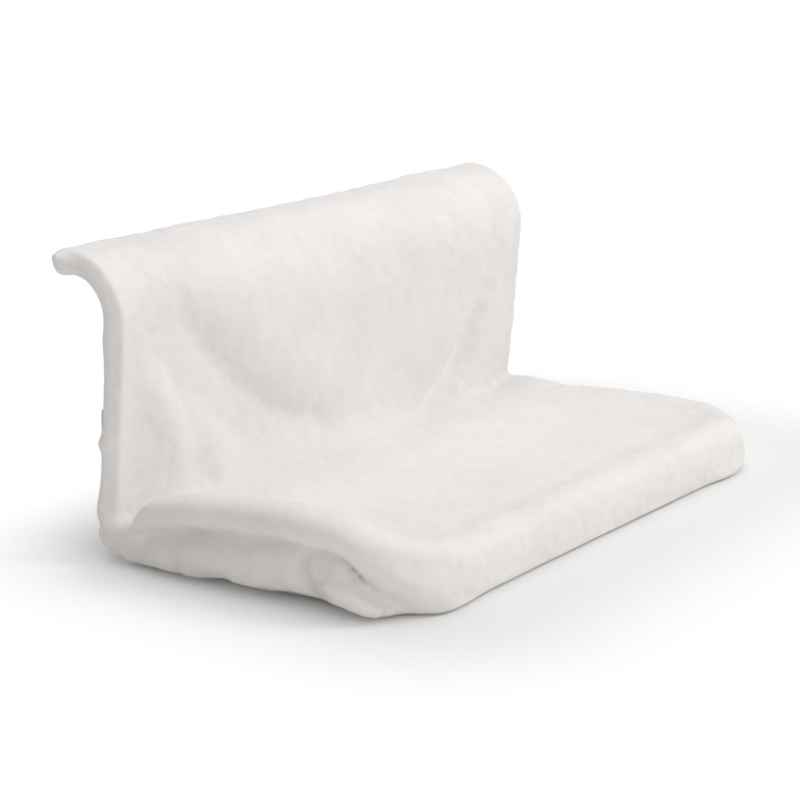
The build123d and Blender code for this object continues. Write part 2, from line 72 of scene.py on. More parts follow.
# Name of the flat map of a cloth, which its weave follows.
FLAT_MAP = "cloth"

# Distances in millimetres that count as nothing, from least to most.
NOTHING = 1e-9
TINY = 1e-6
HAIR = 0.01

# Longest distance between two points of a side view and of a plan, and half the chord that gives a direction.
LINE_STEP = 2.0
PLAN_STEP = 3.0
CHORD = 0.5


# Helpers for numbers


def smooth_step(value: Array | float, low: float, high: float) -> Array | float:
    """Rises from 0 at low to 1 at high, with soft ends."""
    t = np.clip((value - low) / (high - low), 0.0, 1.0)
    return t * t * (3.0 - 2.0 * t)


def soft_union(first: Array, second: Array, radius: float | Array) -> Array:
    """Joins two distance fields with a fillet.

    Args:
        first: Signed distance to one form, negative inside it.
        second: Signed distance to the other form.
        radius: Width over which the two melt together.

    Returns:
        Signed distance to the joined form.
    """
    share = np.clip(0.5 + 0.5 * (second - first) / radius, 0.0, 1.0)
    return second + (first - second) * share - radius * share * (1.0 - share)


def soft_cut(first: Array, second: Array, radius: float | Array) -> Array:
    """Keeps what lies inside both distance fields, with a rounded edge."""
    return -soft_union(-first, -second, radius)


def rounded_line(corners: Sequence[Span], radii: Sequence[float], step: float) -> Array:
    """Points along straight runs that are joined by arcs.

    Args:
        corners: The line's two ends and the corners between them.
        radii: Bend radius at each corner between the ends.
        step: Longest distance between two points.

    Returns:
        Array of points, two coordinates each.
    """
    places = [np.array(corner, float) for corner in corners]
    line = [places[0]]
    for index, radius in enumerate(radii, start=1):
        back = places[index - 1] - places[index]
        ahead = places[index + 1] - places[index]
        back /= np.linalg.norm(back)
        ahead /= np.linalg.norm(ahead)
        half = math.acos(float(back @ ahead)) / 2
        bisector = (back + ahead) / np.linalg.norm(back + ahead)
        centre = places[index] + bisector * radius / math.sin(half)
        start = places[index] + back * radius / math.tan(half) - centre
        end = places[index] + ahead * radius / math.tan(half) - centre
        turn = math.atan2(start[0] * end[1] - start[1] * end[0], float(start @ end))
        count = max(4, math.ceil(abs(turn) * radius / step))
        for k in range(count + 1):
            angle = turn * k / count
            c, s = math.cos(angle), math.sin(angle)
            line.append(centre + np.array([c * start[0] - s * start[1], s * start[0] + c * start[1]]))
    line.append(places[-1])
    dense = [line[0]]
    for a, b in zip(line, line[1:]):
        count = max(1, math.ceil(float(np.linalg.norm(b - a)) / step))
        dense += [a + (b - a) * k / count for k in range(1, count + 1)]
    return np.array(dense)


class FlatLine:
    """A line in a plane that says how far, and on which side, any point lies from it."""

    def __init__(self, points: Array) -> None:
        """Keeps the points and the length up to each of them.

        Args:
            points: The line's points, two coordinates each.
        """
        self.points = points
        steps = np.linalg.norm(np.diff(points, axis=0), axis=1)
        self.reach = np.concatenate([[0.0], np.cumsum(steps)])

    def measure(self, a: Array, b: Array) -> tuple[Array, Array]:
        """Measures a grid of points against the line.

        Args:
            a: First coordinate of each point.
            b: Second coordinate of each point.

        Returns:
            The distance, positive on the left of the line's direction, and the length along the line.
        """
        best = np.full(a.shape, np.inf)
        signed = np.zeros(a.shape)
        along = np.zeros(a.shape)
        for index, (p, q) in enumerate(zip(self.points, self.points[1:])):
            run = q - p
            length = float(np.linalg.norm(run))
            if length < NOTHING:
                continue
            share = np.clip(((a - p[0]) * run[0] + (b - p[1]) * run[1]) / length**2, 0.0, 1.0)
            da = a - (p[0] + share * run[0])
            db = b - (p[1] + share * run[1])
            distance = np.hypot(da, db)
            nearer = distance < best - NOTHING
            side = np.where(run[0] * db - run[1] * da >= 0, 1.0, -1.0)
            best = np.where(nearer, distance, best)
            signed = np.where(nearer, side * distance, signed)
            along = np.where(nearer, self.reach[index] + share * length, along)
        return signed, along

    def at(self, length: float) -> Array:
        """Point at a length along the line."""
        return np.array([np.interp(length, self.reach, self.points[:, axis]) for axis in (0, 1)])

    def right_of(self, length: float) -> Array:
        """Direction square to the line at a length along it, on its right."""
        ahead = self.at(length + CHORD) - self.at(length - CHORD)
        return np.array([ahead[1], -ahead[0]]) / np.linalg.norm(ahead)


class LumpNoise:
    """Smooth random lumps of one size, the same on every run.

    The lattice repeats after 48 lumps, which is longer than the hammock for all but the finest of them.
    """

    cells: int = 48

    def __init__(self, seed: int, size: float) -> None:
        """Fills a small lattice with random heights.

        Args:
            seed: Start of the random numbers.
            size: Distance between lumps.
        """
        self.size = size
        self.heights = np.random.default_rng(seed).uniform(-1.0, 1.0, (self.cells,) * 3)

    def at(self, places: Array) -> Array:
        """Height of the lumps.

        Args:
            places: Three coordinates of each place.

        Returns:
            The height at each place, about -1 to 1.
        """
        scaled = places / self.size
        low = np.floor(scaled).astype(int)
        share = scaled - low
        share = share * share * (3.0 - 2.0 * share)
        total = np.zeros(len(places))
        for corner in range(8):
            offset = np.array([corner & 1, corner >> 1 & 1, corner >> 2 & 1])
            weight = np.prod(np.where(offset == 1, share, 1.0 - share), axis=1)
            cell = (low + offset) % self.cells
            total += weight * self.heights[cell[:, 0], cell[:, 1], cell[:, 2]]
        return total


# The hammock's measures


@dataclass(frozen=True)
class Layout:
    """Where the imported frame's tubes run, in the hammock's own axes.

    The tubes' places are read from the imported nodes. The rest are the sizes of their bends, of the linings and
    of the closure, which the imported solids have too.
    """

    half_width: float
    seat_depth: float
    back_height: float
    top_bar_y: float
    rail_middle: float
    bumper_middle: float
    bumper_height: float
    origin: tuple[float, float, float]
    lean: float = math.radians(5.0)
    tube_radius: float = 4.0
    bottom_bend: float = 20.0
    top_bend: float = 32.0
    corner_bend: float = 58.0
    seat_bottom: float = -15.5
    lining_rise: float = 27.0
    lining_lift: float = 13.0
    lining_bend: float = 10.0
    lining_half: float = 0.6
    seat_lining_rear: float = 9.4
    closure_height: float = 58.0
    closure_width: float = 18.0
    joint_height: float = 57.5

    @classmethod
    def read(cls) -> "Layout":
        """Reads the tubes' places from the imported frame.

        Returns:
            The layout of this frame.
        """
        low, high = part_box("lower_frame_tube")
        top, bar, rail, bumper = (
            [(near + far) / 2 for near, far in zip(*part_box(node))]
            for node in ("top_bar", "rear_cross_bar", "hook_rail_right", "bumper_right")
        )
        radius = cls.tube_radius * MM
        seat_z = low.z + radius
        corner_y = bar[1] + (bar[2] - seat_z) * math.tan(cls.lean)
        return cls(
            half_width=(high.x - radius) / MM,
            seat_depth=(corner_y - low.y - radius) / MM,
            back_height=(top[2] - seat_z) / MM,
            top_bar_y=(top[1] - corner_y) / MM,
            rail_middle=rail[0] / MM,
            bumper_middle=bumper[0] / MM,
            bumper_height=(bar[2] - seat_z) / MM,
            origin=(0.0, corner_y, seat_z),
        )

    def back_y(self, height: float, rear: float = 0.0) -> float:
        """Y of the back's sloping plane at a height, moved a distance towards the radiator."""
        return rear / math.cos(self.lean) - height * math.tan(self.lean)

    def side_line(self, front: float) -> FlatLine:
        """Side view of a side tube: from the seat through the crook and the top bend to the top bar.

        Args:
            front: How far in front of the corner it starts.

        Returns:
            The tube's centre line.
        """
        corners = [
            (-front, 0.0),
            (0.0, 0.0),
            (self.back_y(self.back_height), self.back_height),
            (self.top_bar_y, self.back_height),
        ]
        return FlatLine(rounded_line(corners, [self.bottom_bend, self.top_bend], LINE_STEP))

    def back_line(self, foot: float) -> FlatLine:
        """Side view of the back without its foot bend.

        Args:
            foot: Height at which it starts, below the corner if negative.

        Returns:
            The back's middle, up to the top bar.
        """
        corners = [
            (self.back_y(foot), foot),
            (self.back_y(self.back_height), self.back_height),
            (self.top_bar_y, self.back_height),
        ]
        return FlatLine(rounded_line(corners, [self.top_bend], LINE_STEP))

    def lining_line(self) -> FlatLine:
        """Side view of the seat lining: along the underside, up behind the crook and up the back.

        Returns:
            The middle of the sheet.
        """
        rear = self.seat_lining_rear - self.lining_half
        low = self.seat_bottom + self.lining_half
        crook_z = self.seat_bottom + self.lining_lift
        crook_y = self.back_y(crook_z, rear)
        corners = [
            (-2 * self.seat_depth, low),
            (crook_y - self.lining_rise, low),
            (crook_y, crook_z),
            (self.back_y(self.back_height, rear), self.back_height),
        ]
        return FlatLine(rounded_line(corners, [self.lining_bend, self.lining_bend], LINE_STEP))

    def seat_plan(self, rear: float) -> FlatLine:
        """Plan of the seat's tube, from the rear of the left side round the front to the rear of the right.

        Args:
            rear: How far behind the corner it starts and ends.

        Returns:
            The tube's centre line.
        """
        corners = [
            (-self.half_width, rear),
            (-self.half_width, -self.seat_depth),
            (self.half_width, -self.seat_depth),
            (self.half_width, rear),
        ]
        return FlatLine(rounded_line(corners, [self.corner_bend, self.corner_bend], PLAN_STEP))

    @property
    def lining_top(self) -> float:
        """Height of the seat lining's upper edge, at the closure."""
        return self.closure_height + self.closure_width

    def to_frame(self, places: Array) -> Array:
        """Places in the hammock's axes, moved to the frame's origin and to metres."""
        return places * MM + np.array(self.origin)


def mesh_object(name: str, places: Array, faces: Iterable[Sequence[int]], layout: Layout) -> Piece:
    """Makes a smooth mesh object.

    Args:
        name: Name of the piece.
        places: Vertices in the hammock's axes, in millimetres.
        faces: Vertex indices of each face.
        layout: Gives the frame's origin.

    Returns:
        The object, at the origin, with its place in its mesh.
    """
    mesh = bpy.data.meshes.new(name)
    mesh.from_pydata(layout.to_frame(places).tolist(), [], [list(map(int, f)) for f in faces])
    mesh.shade_smooth()
    mesh.update()
    made = bpy.data.objects.new(name, mesh)
    bpy.context.scene.collection.objects.link(made)
    return made


def read_places(piece: Piece, layout: Layout) -> Array:
    """Reads where a piece's vertices are.

    Args:
        piece: The piece.
        layout: Gives the frame's origin.

    Returns:
        Its vertices in the hammock's axes, in millimetres.
    """
    flat = np.zeros(len(piece.data.vertices) * 3, np.float32)
    piece.data.vertices.foreach_get("co", flat)
    return (flat.reshape(-1, 3).astype(float) - np.array(layout.origin)) / MM


def write_places(piece: Piece, places: Array, layout: Layout) -> None:
    """Moves the vertices of a piece to places in the hammock's axes."""
    piece.data.vertices.foreach_set("co", layout.to_frame(places).astype(np.float32).ravel())
    piece.data.update()


def read_normals(piece: Piece) -> Array:
    """Reads which way a piece's vertices face.

    Args:
        piece: The piece.

    Returns:
        Outward direction at each vertex.
    """
    flat = np.zeros(len(piece.data.vertices) * 3, np.float32)
    piece.data.vertices.foreach_get("normal", flat)
    return flat.reshape(-1, 3).astype(float)


def apply_modifiers(piece: Piece) -> None:
    """Turns a piece with modifiers into a plain mesh.

    Args:
        piece: The piece, whose old mesh is removed.
    """
    graph = bpy.context.evaluated_depsgraph_get()
    made = bpy.data.meshes.new_from_object(piece.evaluated_get(graph))
    old = piece.data
    piece.modifiers.clear()
    piece.data = made
    bpy.data.meshes.remove(old)


# Skin over a distance field


class Skin:
    """Turns a distance field on a regular grid into a mesh of even quads."""

    def __init__(self, low: Sequence[float], high: Sequence[float], step: float) -> None:
        """Lays out the grid.

        Args:
            low: Lowest corner of the space.
            high: Highest corner of the space.
            step: Distance between grid points.
        """
        self.step = step
        self.low = np.array(low, float)
        self.axes = [np.arange(a, b + step, step) for a, b in zip(low, high)]

    def mesh(self, values: Array) -> tuple[Array, Array]:
        """Finds the surface where the field is zero.

        Args:
            values: Field at each grid point, negative inside.

        Returns:
            Vertices and quads, which face outwards.
        """
        inside = values < 0
        counts = np.zeros(tuple(n - 1 for n in values.shape), np.float32)
        sums = np.zeros(counts.shape + (3,), np.float32)
        for axis in range(3):
            self._add_crossings(values, inside, axis, counts, sums)
        cells = counts > 0
        numbers = np.full(counts.shape, -1)
        numbers[cells] = np.arange(int(cells.sum()))
        places = self.low + sums[cells] / counts[cells][:, None] * self.step
        faces = [self._quads(inside, numbers, axis) for axis in range(3)]
        return places, np.concatenate(faces)

    @staticmethod
    def _add_crossings(values: Array, inside: Array, axis: int, counts: Array, sums: Array) -> None:
        """Adds each crossing of the grid's edges along one axis to the four cells around that edge.

        Args:
            values: Field at each grid point.
            inside: Whether each point lies inside.
            axis: Axis of the edges.
            counts: Number of crossings of each cell, added to.
            sums: Sum of their places, added to.
        """
        first = [slice(None)] * 3
        second = [slice(None)] * 3
        first[axis] = slice(None, -1)
        second[axis] = slice(1, None)
        a, b = values[tuple(first)], values[tuple(second)]
        edges = np.argwhere(inside[tuple(first)] != inside[tuple(second)])
        at = tuple(edges.T)
        share = a[at] / (a[at] - b[at])
        points = edges.astype(np.float32)
        points[:, axis] += share
        others = [other for other in range(3) if other != axis]
        for shift in range(4):
            cell = edges.copy()
            cell[:, others[0]] -= shift & 1
            cell[:, others[1]] -= shift >> 1
            fits = np.all((cell >= 0) & (cell < np.array(counts.shape)), axis=1)
            target = tuple(cell[fits].T)
            np.add.at(counts, target, 1.0)
            np.add.at(sums, target, points[fits])

    @staticmethod
    def _quads(inside: Array, numbers: Array, axis: int) -> Array:
        """Joins the four cells round each crossed edge along one axis.

        Args:
            inside: Whether each point lies inside.
            numbers: Vertex of each cell, -1 where it has none.
            axis: Axis of the edges.

        Returns:
            Quads of vertices, which face outwards.
        """
        first = [slice(1, -1)] * 3
        second = [slice(1, -1)] * 3
        first[axis] = slice(None, -1)
        second[axis] = slice(1, None)
        starts = inside[tuple(first)]
        edges = np.argwhere(starts != inside[tuple(second)])
        u, v = (axis + 1) % 3, (axis + 2) % 3
        edges[:, u] += 1
        edges[:, v] += 1
        corners = []
        for du, dv in ((-1, -1), (0, -1), (0, 0), (-1, 0)):
            cell = edges.copy()
            cell[:, u] += du
            cell[:, v] += dv
            corners.append(numbers[tuple(cell.T)])
        quads = np.stack(corners, axis=1)
        turned = ~inside[tuple(edges.T)]
        quads[turned] = quads[turned][:, ::-1]
        return quads[np.all(quads >= 0, axis=1)]


# Materials


# The part of its range that a noise really fills.
NOISE_SPAN = {"From Min": 0.3, "From Max": 0.7}

# Detail of a noise: several sizes of lumps in one, or hardly more than one.
MANY_SIZES = 3.0
FEW_SIZES = 2.0

# A Mix node has one set of sockets for each type of data, all with the same names, so they go by number.
FIRST_VALUE, SECOND_VALUE, MIXED_VALUE = 2, 3, 0
FIRST_COLOUR, SECOND_COLOUR, MIXED_COLOUR = 6, 7, 2


def srgb(code: str) -> tuple[float, float, float, float]:
    """Linear red, green, blue and alpha of an sRGB hex value.

    Args:
        code: Six hex digits after a hash.

    Returns:
        The colour for a node's socket.
    """
    parts = [int(code[place:place + 2], 16) / 255 for place in (1, 3, 5)]
    linear = [p / 12.92 if p <= 0.04045 else ((p + 0.055) / 1.055) ** 2.4 for p in parts]
    return (*linear, 1.0)


def lump_inputs(place: Socket, size_mm: float, detail: float) -> dict[str, object]:
    """Inputs of a noise whose lumps have a real size."""
    return {"Vector": place, "Scale": 1 / (size_mm * MM), "Detail": detail}


def add_node(
    tree: Tree, kind: str, inputs: dict[str | int, object] | None = None, **settings: object
) -> Node:
    """Adds a node, sets it up and links it.

    Args:
        tree: Tree that gets the node.
        kind: The node's type name.
        inputs: Value or output socket for each named or numbered input.
        **settings: The node's own properties.

    Returns:
        The node.
    """
    node = tree.nodes.new(kind)
    for name, value in settings.items():
        setattr(node, name, value)
    for name, value in (inputs or {}).items():
        if isinstance(value, Socket):
            tree.links.new(value, node.inputs[name])
        else:
            node.inputs[name].default_value = value
    return node


@dataclass(frozen=True)
class Finish:
    """A surface finish: a Principled shader whose colour, roughness and relief come from patterns."""

    name: str
    light: str
    dark: str
    roughness: Span = (0.4, 0.5)
    metallic: float = 0.0
    ior: float = 1.5
    patch_mm: float = 20.0
    grain_mm: float = 1.0
    relief_mm: float = 0.05
    sheen: float = 0.0

    def material(self) -> bpy.types.Material:
        """Builds the finish's material.

        Returns:
            A new material with its own node tree.
        """
        made = bpy.data.materials.new(self.name)
        made.use_nodes = True
        made.diffuse_color = srgb(self.light)
        tree = made.node_tree
        tree.nodes.clear()
        place = add_node(tree, "ShaderNodeTexCoord").outputs["Object"]
        inputs = {"Metallic": self.metallic, "Sheen Weight": self.sheen}
        shader = add_node(tree, "ShaderNodeBsdfPrincipled", inputs)
        if self.metallic == 0:
            shader.inputs["IOR"].default_value = self.ior
        self.dress(tree, shader, place)
        add_node(tree, "ShaderNodeOutputMaterial", {"Surface": shader.outputs["BSDF"]})
        return made

    def dress(self, tree: Tree, shader: Node, place: Socket) -> None:
        """Gives the shader its patches of colour, its uneven gloss and its grain.

        Args:
            tree: The material's tree.
            shader: Its Principled shader.
            place: Object coordinates.
        """
        patches, grain = (
            add_node(tree, "ShaderNodeTexNoise", lump_inputs(place, size, detail)).outputs["Fac"]
            for size, detail in ((self.patch_mm, MANY_SIZES), (self.grain_mm, FEW_SIZES))
        )
        self.tint(tree, shader, patches)
        self.gloss(tree, shader, patches)
        self.relief(tree, shader, grain)

    def tint(self, tree: Tree, shader: Node, share: Socket) -> None:
        """Mixes the dark colour into the light one.

        Args:
            tree: The material's tree.
            shader: Its Principled shader.
            share: Height that is light where it is high.
        """
        spread = add_node(tree, "ShaderNodeMapRange", {"Value": share, **NOISE_SPAN}).outputs["Result"]
        inputs = {"Factor": spread, FIRST_COLOUR: srgb(self.dark), SECOND_COLOUR: srgb(self.light)}
        colour = add_node(tree, "ShaderNodeMix", inputs, data_type="RGBA").outputs[MIXED_COLOUR]
        tree.links.new(colour, shader.inputs["Base Color"])

    def gloss(self, tree: Tree, shader: Node, share: Socket) -> None:
        """Lets the roughness wander between its two values.

        Args:
            tree: The material's tree.
            shader: Its Principled shader.
            share: Height that is rough where it is high.
        """
        low, high = self.roughness
        inputs = {"Value": share, **NOISE_SPAN, "To Min": low, "To Max": high}
        rough = add_node(tree, "ShaderNodeMapRange", inputs).outputs["Result"]
        tree.links.new(rough, shader.inputs["Roughness"])

    def relief(self, tree: Tree, shader: Node, height: Socket) -> None:
        """Turns a height into bumps of a real depth.

        Args:
            tree: The material's tree.
            shader: Its Principled shader.
            height: Height of the bumps, from 0 to 1.
        """
        inputs = {"Height": height, "Distance": self.relief_mm * MM, "Strength": 1.0}
        bump = add_node(tree, "ShaderNodeBump", inputs).outputs["Normal"]
        tree.links.new(bump, shader.inputs["Normal"])


@dataclass(frozen=True)
class PlushPile(Finish):
    """Off-white polyester plush: a matt pile with clumped tips and a soft sheen at grazing angles."""

    clump_mm: float = 7.0
    # Share of the clumps in the colour, which paints shade at the roots between them.
    painted_root_shade_share: float = 0.45
    hair_mm: float = 0.9
    hair_share: float = 0.3
    sheen: float = 0.35
    sheen_roughness: float = 0.5
    specular: float = 0.2

    def dress(self, tree: Tree, shader: Node, place: Socket) -> None:
        """Clumps of pile shade the roots between them, as painted shade: the colour is darker where the clumps
        are low. Single hairs roughen the light.

        Args:
            tree: The material's tree.
            shader: Its Principled shader.
            place: Object coordinates.
        """
        sizes = ((self.patch_mm, FEW_SIZES), (self.clump_mm, MANY_SIZES), (self.hair_mm, FEW_SIZES))
        patches, clumps, hairs = (
            add_node(tree, "ShaderNodeTexNoise", lump_inputs(place, size, detail)).outputs["Fac"]
            for size, detail in sizes
        )
        # Painted shade: the colour darkens where the clumps are low, as shade at their roots; the patches are
        # the pile's own uneven tone.
        inputs = {"Factor": self.painted_root_shade_share, FIRST_VALUE: patches, SECOND_VALUE: clumps}
        blend = add_node(tree, "ShaderNodeMix", inputs, data_type="FLOAT").outputs[MIXED_VALUE]
        self.tint(tree, shader, blend)
        self.gloss(tree, shader, clumps)
        inputs = {0: hairs, 1: self.hair_share, 2: clumps}
        height = add_node(tree, "ShaderNodeMath", inputs, operation="MULTIPLY_ADD").outputs["Value"]
        self.relief(tree, shader, height)
        shader.inputs["Sheen Roughness"].default_value = self.sheen_roughness
        shader.inputs["Specular IOR Level"].default_value = self.specular


@dataclass(frozen=True)
class PlainWeave(Finish):
    """Woven polyester: warp and weft threads that cross one over one.

    The threads are drawn 2 mm apart, wider than the real half millimetre, so that the weave shows. A wave
    texture of scale 1 has a ridge every 2 pi / 20 units.
    """

    thread_mm: float = 2.0
    wave_units: float = 20.0
    unevenness: float = 0.6
    weave_share: float = 0.5
    sheen: float = 0.15

    def dress(self, tree: Tree, shader: Node, place: Socket) -> None:
        """Two sets of thread ridges at right angles, read from the cloth's own flat map.

        Args:
            tree: The material's tree.
            shader: Its Principled shader.
            place: Object coordinates.
        """
        flat = add_node(tree, "ShaderNodeUVMap", uv_map=FLAT_MAP).outputs["UV"]
        scale = 2 * math.pi / self.wave_units / (self.thread_mm * MM)
        inputs = {"Vector": flat, "Scale": scale, "Distortion": self.unevenness, "Detail": 1.0}
        waves = [add_node(tree, "ShaderNodeTexWave", inputs, bands_direction=way) for way in ("X", "Y")]
        ridges = dict(enumerate(wave.outputs["Fac"] for wave in waves))
        weave = add_node(tree, "ShaderNodeMath", ridges, operation="MULTIPLY").outputs["Value"]
        inputs = lump_inputs(place, self.patch_mm, MANY_SIZES)
        patches = add_node(tree, "ShaderNodeTexNoise", inputs).outputs["Fac"]
        inputs = {"Factor": self.weave_share, FIRST_VALUE: patches, SECOND_VALUE: weave}
        blend = add_node(tree, "ShaderNodeMix", inputs, data_type="FLOAT").outputs[MIXED_VALUE]
        self.tint(tree, shader, blend)
        self.gloss(tree, shader, patches)
        self.relief(tree, shader, weave)


class Surface(Enum):
    """The finishes of the hammock's pieces."""

    # Knitted and brushed: short pile that lies in patches, each a little lighter or darker, without gloss.
    PLUSH = PlushPile(
        "brushed_polyester_plush", "#F1EEED", "#E9E6E4", (0.9, 1.0), patch_mm=45.0, relief_mm=0.42
    )
    # Woven from cream yarn: flat and dull, with fine ribs where the threads cross.
    LINING = PlainWeave("woven_polyester_lining", "#EAE8E3", "#DAD7D0", (0.75, 0.9), relief_mm=0.15)
    # Narrow and closely woven: denser and a little greyer than the lining.
    WEBBING = Finish(
        "woven_polyester_webbing", "#E4E1DB", "#D2CEC6", (0.7, 0.85), grain_mm=0.8, relief_mm=0.2
    )
    # Loops and hooks on a woven base: rough, with small dark gaps between them.
    TAPE = Finish("woven_hook_and_loop_tape", "#EDECEA", "#DCDAD6", (0.8, 0.95), grain_mm=0.7, relief_mm=0.4)
    # Spun thread: smoother than the cloth, so each stitch catches a soft light.
    THREAD = Finish("spun_polyester_thread", "#EFEDE8", "#DAD7D0", (0.55, 0.7), grain_mm=0.3)
    # Powder melted on steel tube: even off-white, satin, with a faint orange peel.
    COATED_TUBE = Finish(
        "powder_coated_steel_tube", "#E6E6E3", "#DBDBD7", (0.32, 0.45), grain_mm=1.4, relief_mm=0.03
    )
    # The same powder on folded strip: slightly duller, because the coat is thicker on flats.
    COATED_STRAP = Finish(
        "powder_coated_steel_strip", "#E4E4E1", "#D8D8D3", (0.34, 0.48), grain_mm=1.2, relief_mm=0.03
    )
    # Plated after rolling: bright grey with cloudy patches and bluish highlights.
    ZINC = Finish(
        "zinc_plated_steel", "#C9CCD0", "#AEB3B8", (0.22, 0.38), 1.0,
        patch_mm=6.0, grain_mm=0.5, relief_mm=0.01,
    )
    # Pressed brass with a plated skin: warm grey and the shiniest of the pieces.
    NICKEL = Finish(
        "nickel_plated_brass", "#D3CFC4", "#BDB8AB", (0.14, 0.26), 1.0,
        patch_mm=5.0, grain_mm=0.6, relief_mm=0.01,
    )
    # Moulded and filled with carbon: dark grey, dull, with a slightly grainy skin.
    RUBBER = Finish(
        "moulded_grey_rubber", "#5A5A5C", "#4A4A4C", (0.6, 0.78), patch_mm=9.0, grain_mm=0.6, relief_mm=0.04
    )
    # Dipped hot: thick and soft, with slow waves in a satin skin.
    VINYL = Finish(
        "dipped_white_vinyl", "#DDDCD8", "#D0CFCA", (0.35, 0.5), patch_mm=14.0, grain_mm=2.5, relief_mm=0.06
    )
    # Moulded in a polished tool: waxy, smooth and evenly pale.
    PLASTIC = Finish(
        "moulded_polyethylene", "#DCDBD8", "#D0CFCB", (0.45, 0.58), patch_mm=8.0, grain_mm=0.8, relief_mm=0.02
    )

    @cache
    def material(self) -> bpy.types.Material:
        """The finish's material, made once."""
        return self.value.material()

    def dress(self, piece: Piece) -> None:
        """Gives a whole piece this finish."""
        piece.data.materials.clear()
        piece.data.materials.append(self.material())


# The plush cover


@dataclass(frozen=True)
class Fold:
    """A fold in the plush: a soft valley or ridge along a line.

    Each place on the panel is the distance across from the middle and the distance up from the corner. On the
    skirt it is the distance along the seat's edge and the height.
    """

    places: tuple[Span, ...]
    height: float
    width: float
    fade: float = 25.0
    least: float = 0.15

    def lift(self, across: Array, up: Array) -> Array:
        """How far the fold moves the plush outwards.

        Args:
            across: First coordinate of each place.
            up: Second coordinate of each place.

        Returns:
            The move at each place.
        """
        line = FlatLine(np.array(self.places))
        distance, along = line.measure(across, up)
        end = line.reach[-1]
        shown = smooth_step(along, -HAIR, self.fade) * (1.0 - smooth_step(along, end - self.fade, end))
        return self.height * np.exp(-((distance / self.width) ** 2)) * np.clip(shown + self.least, 0.0, 1.0)


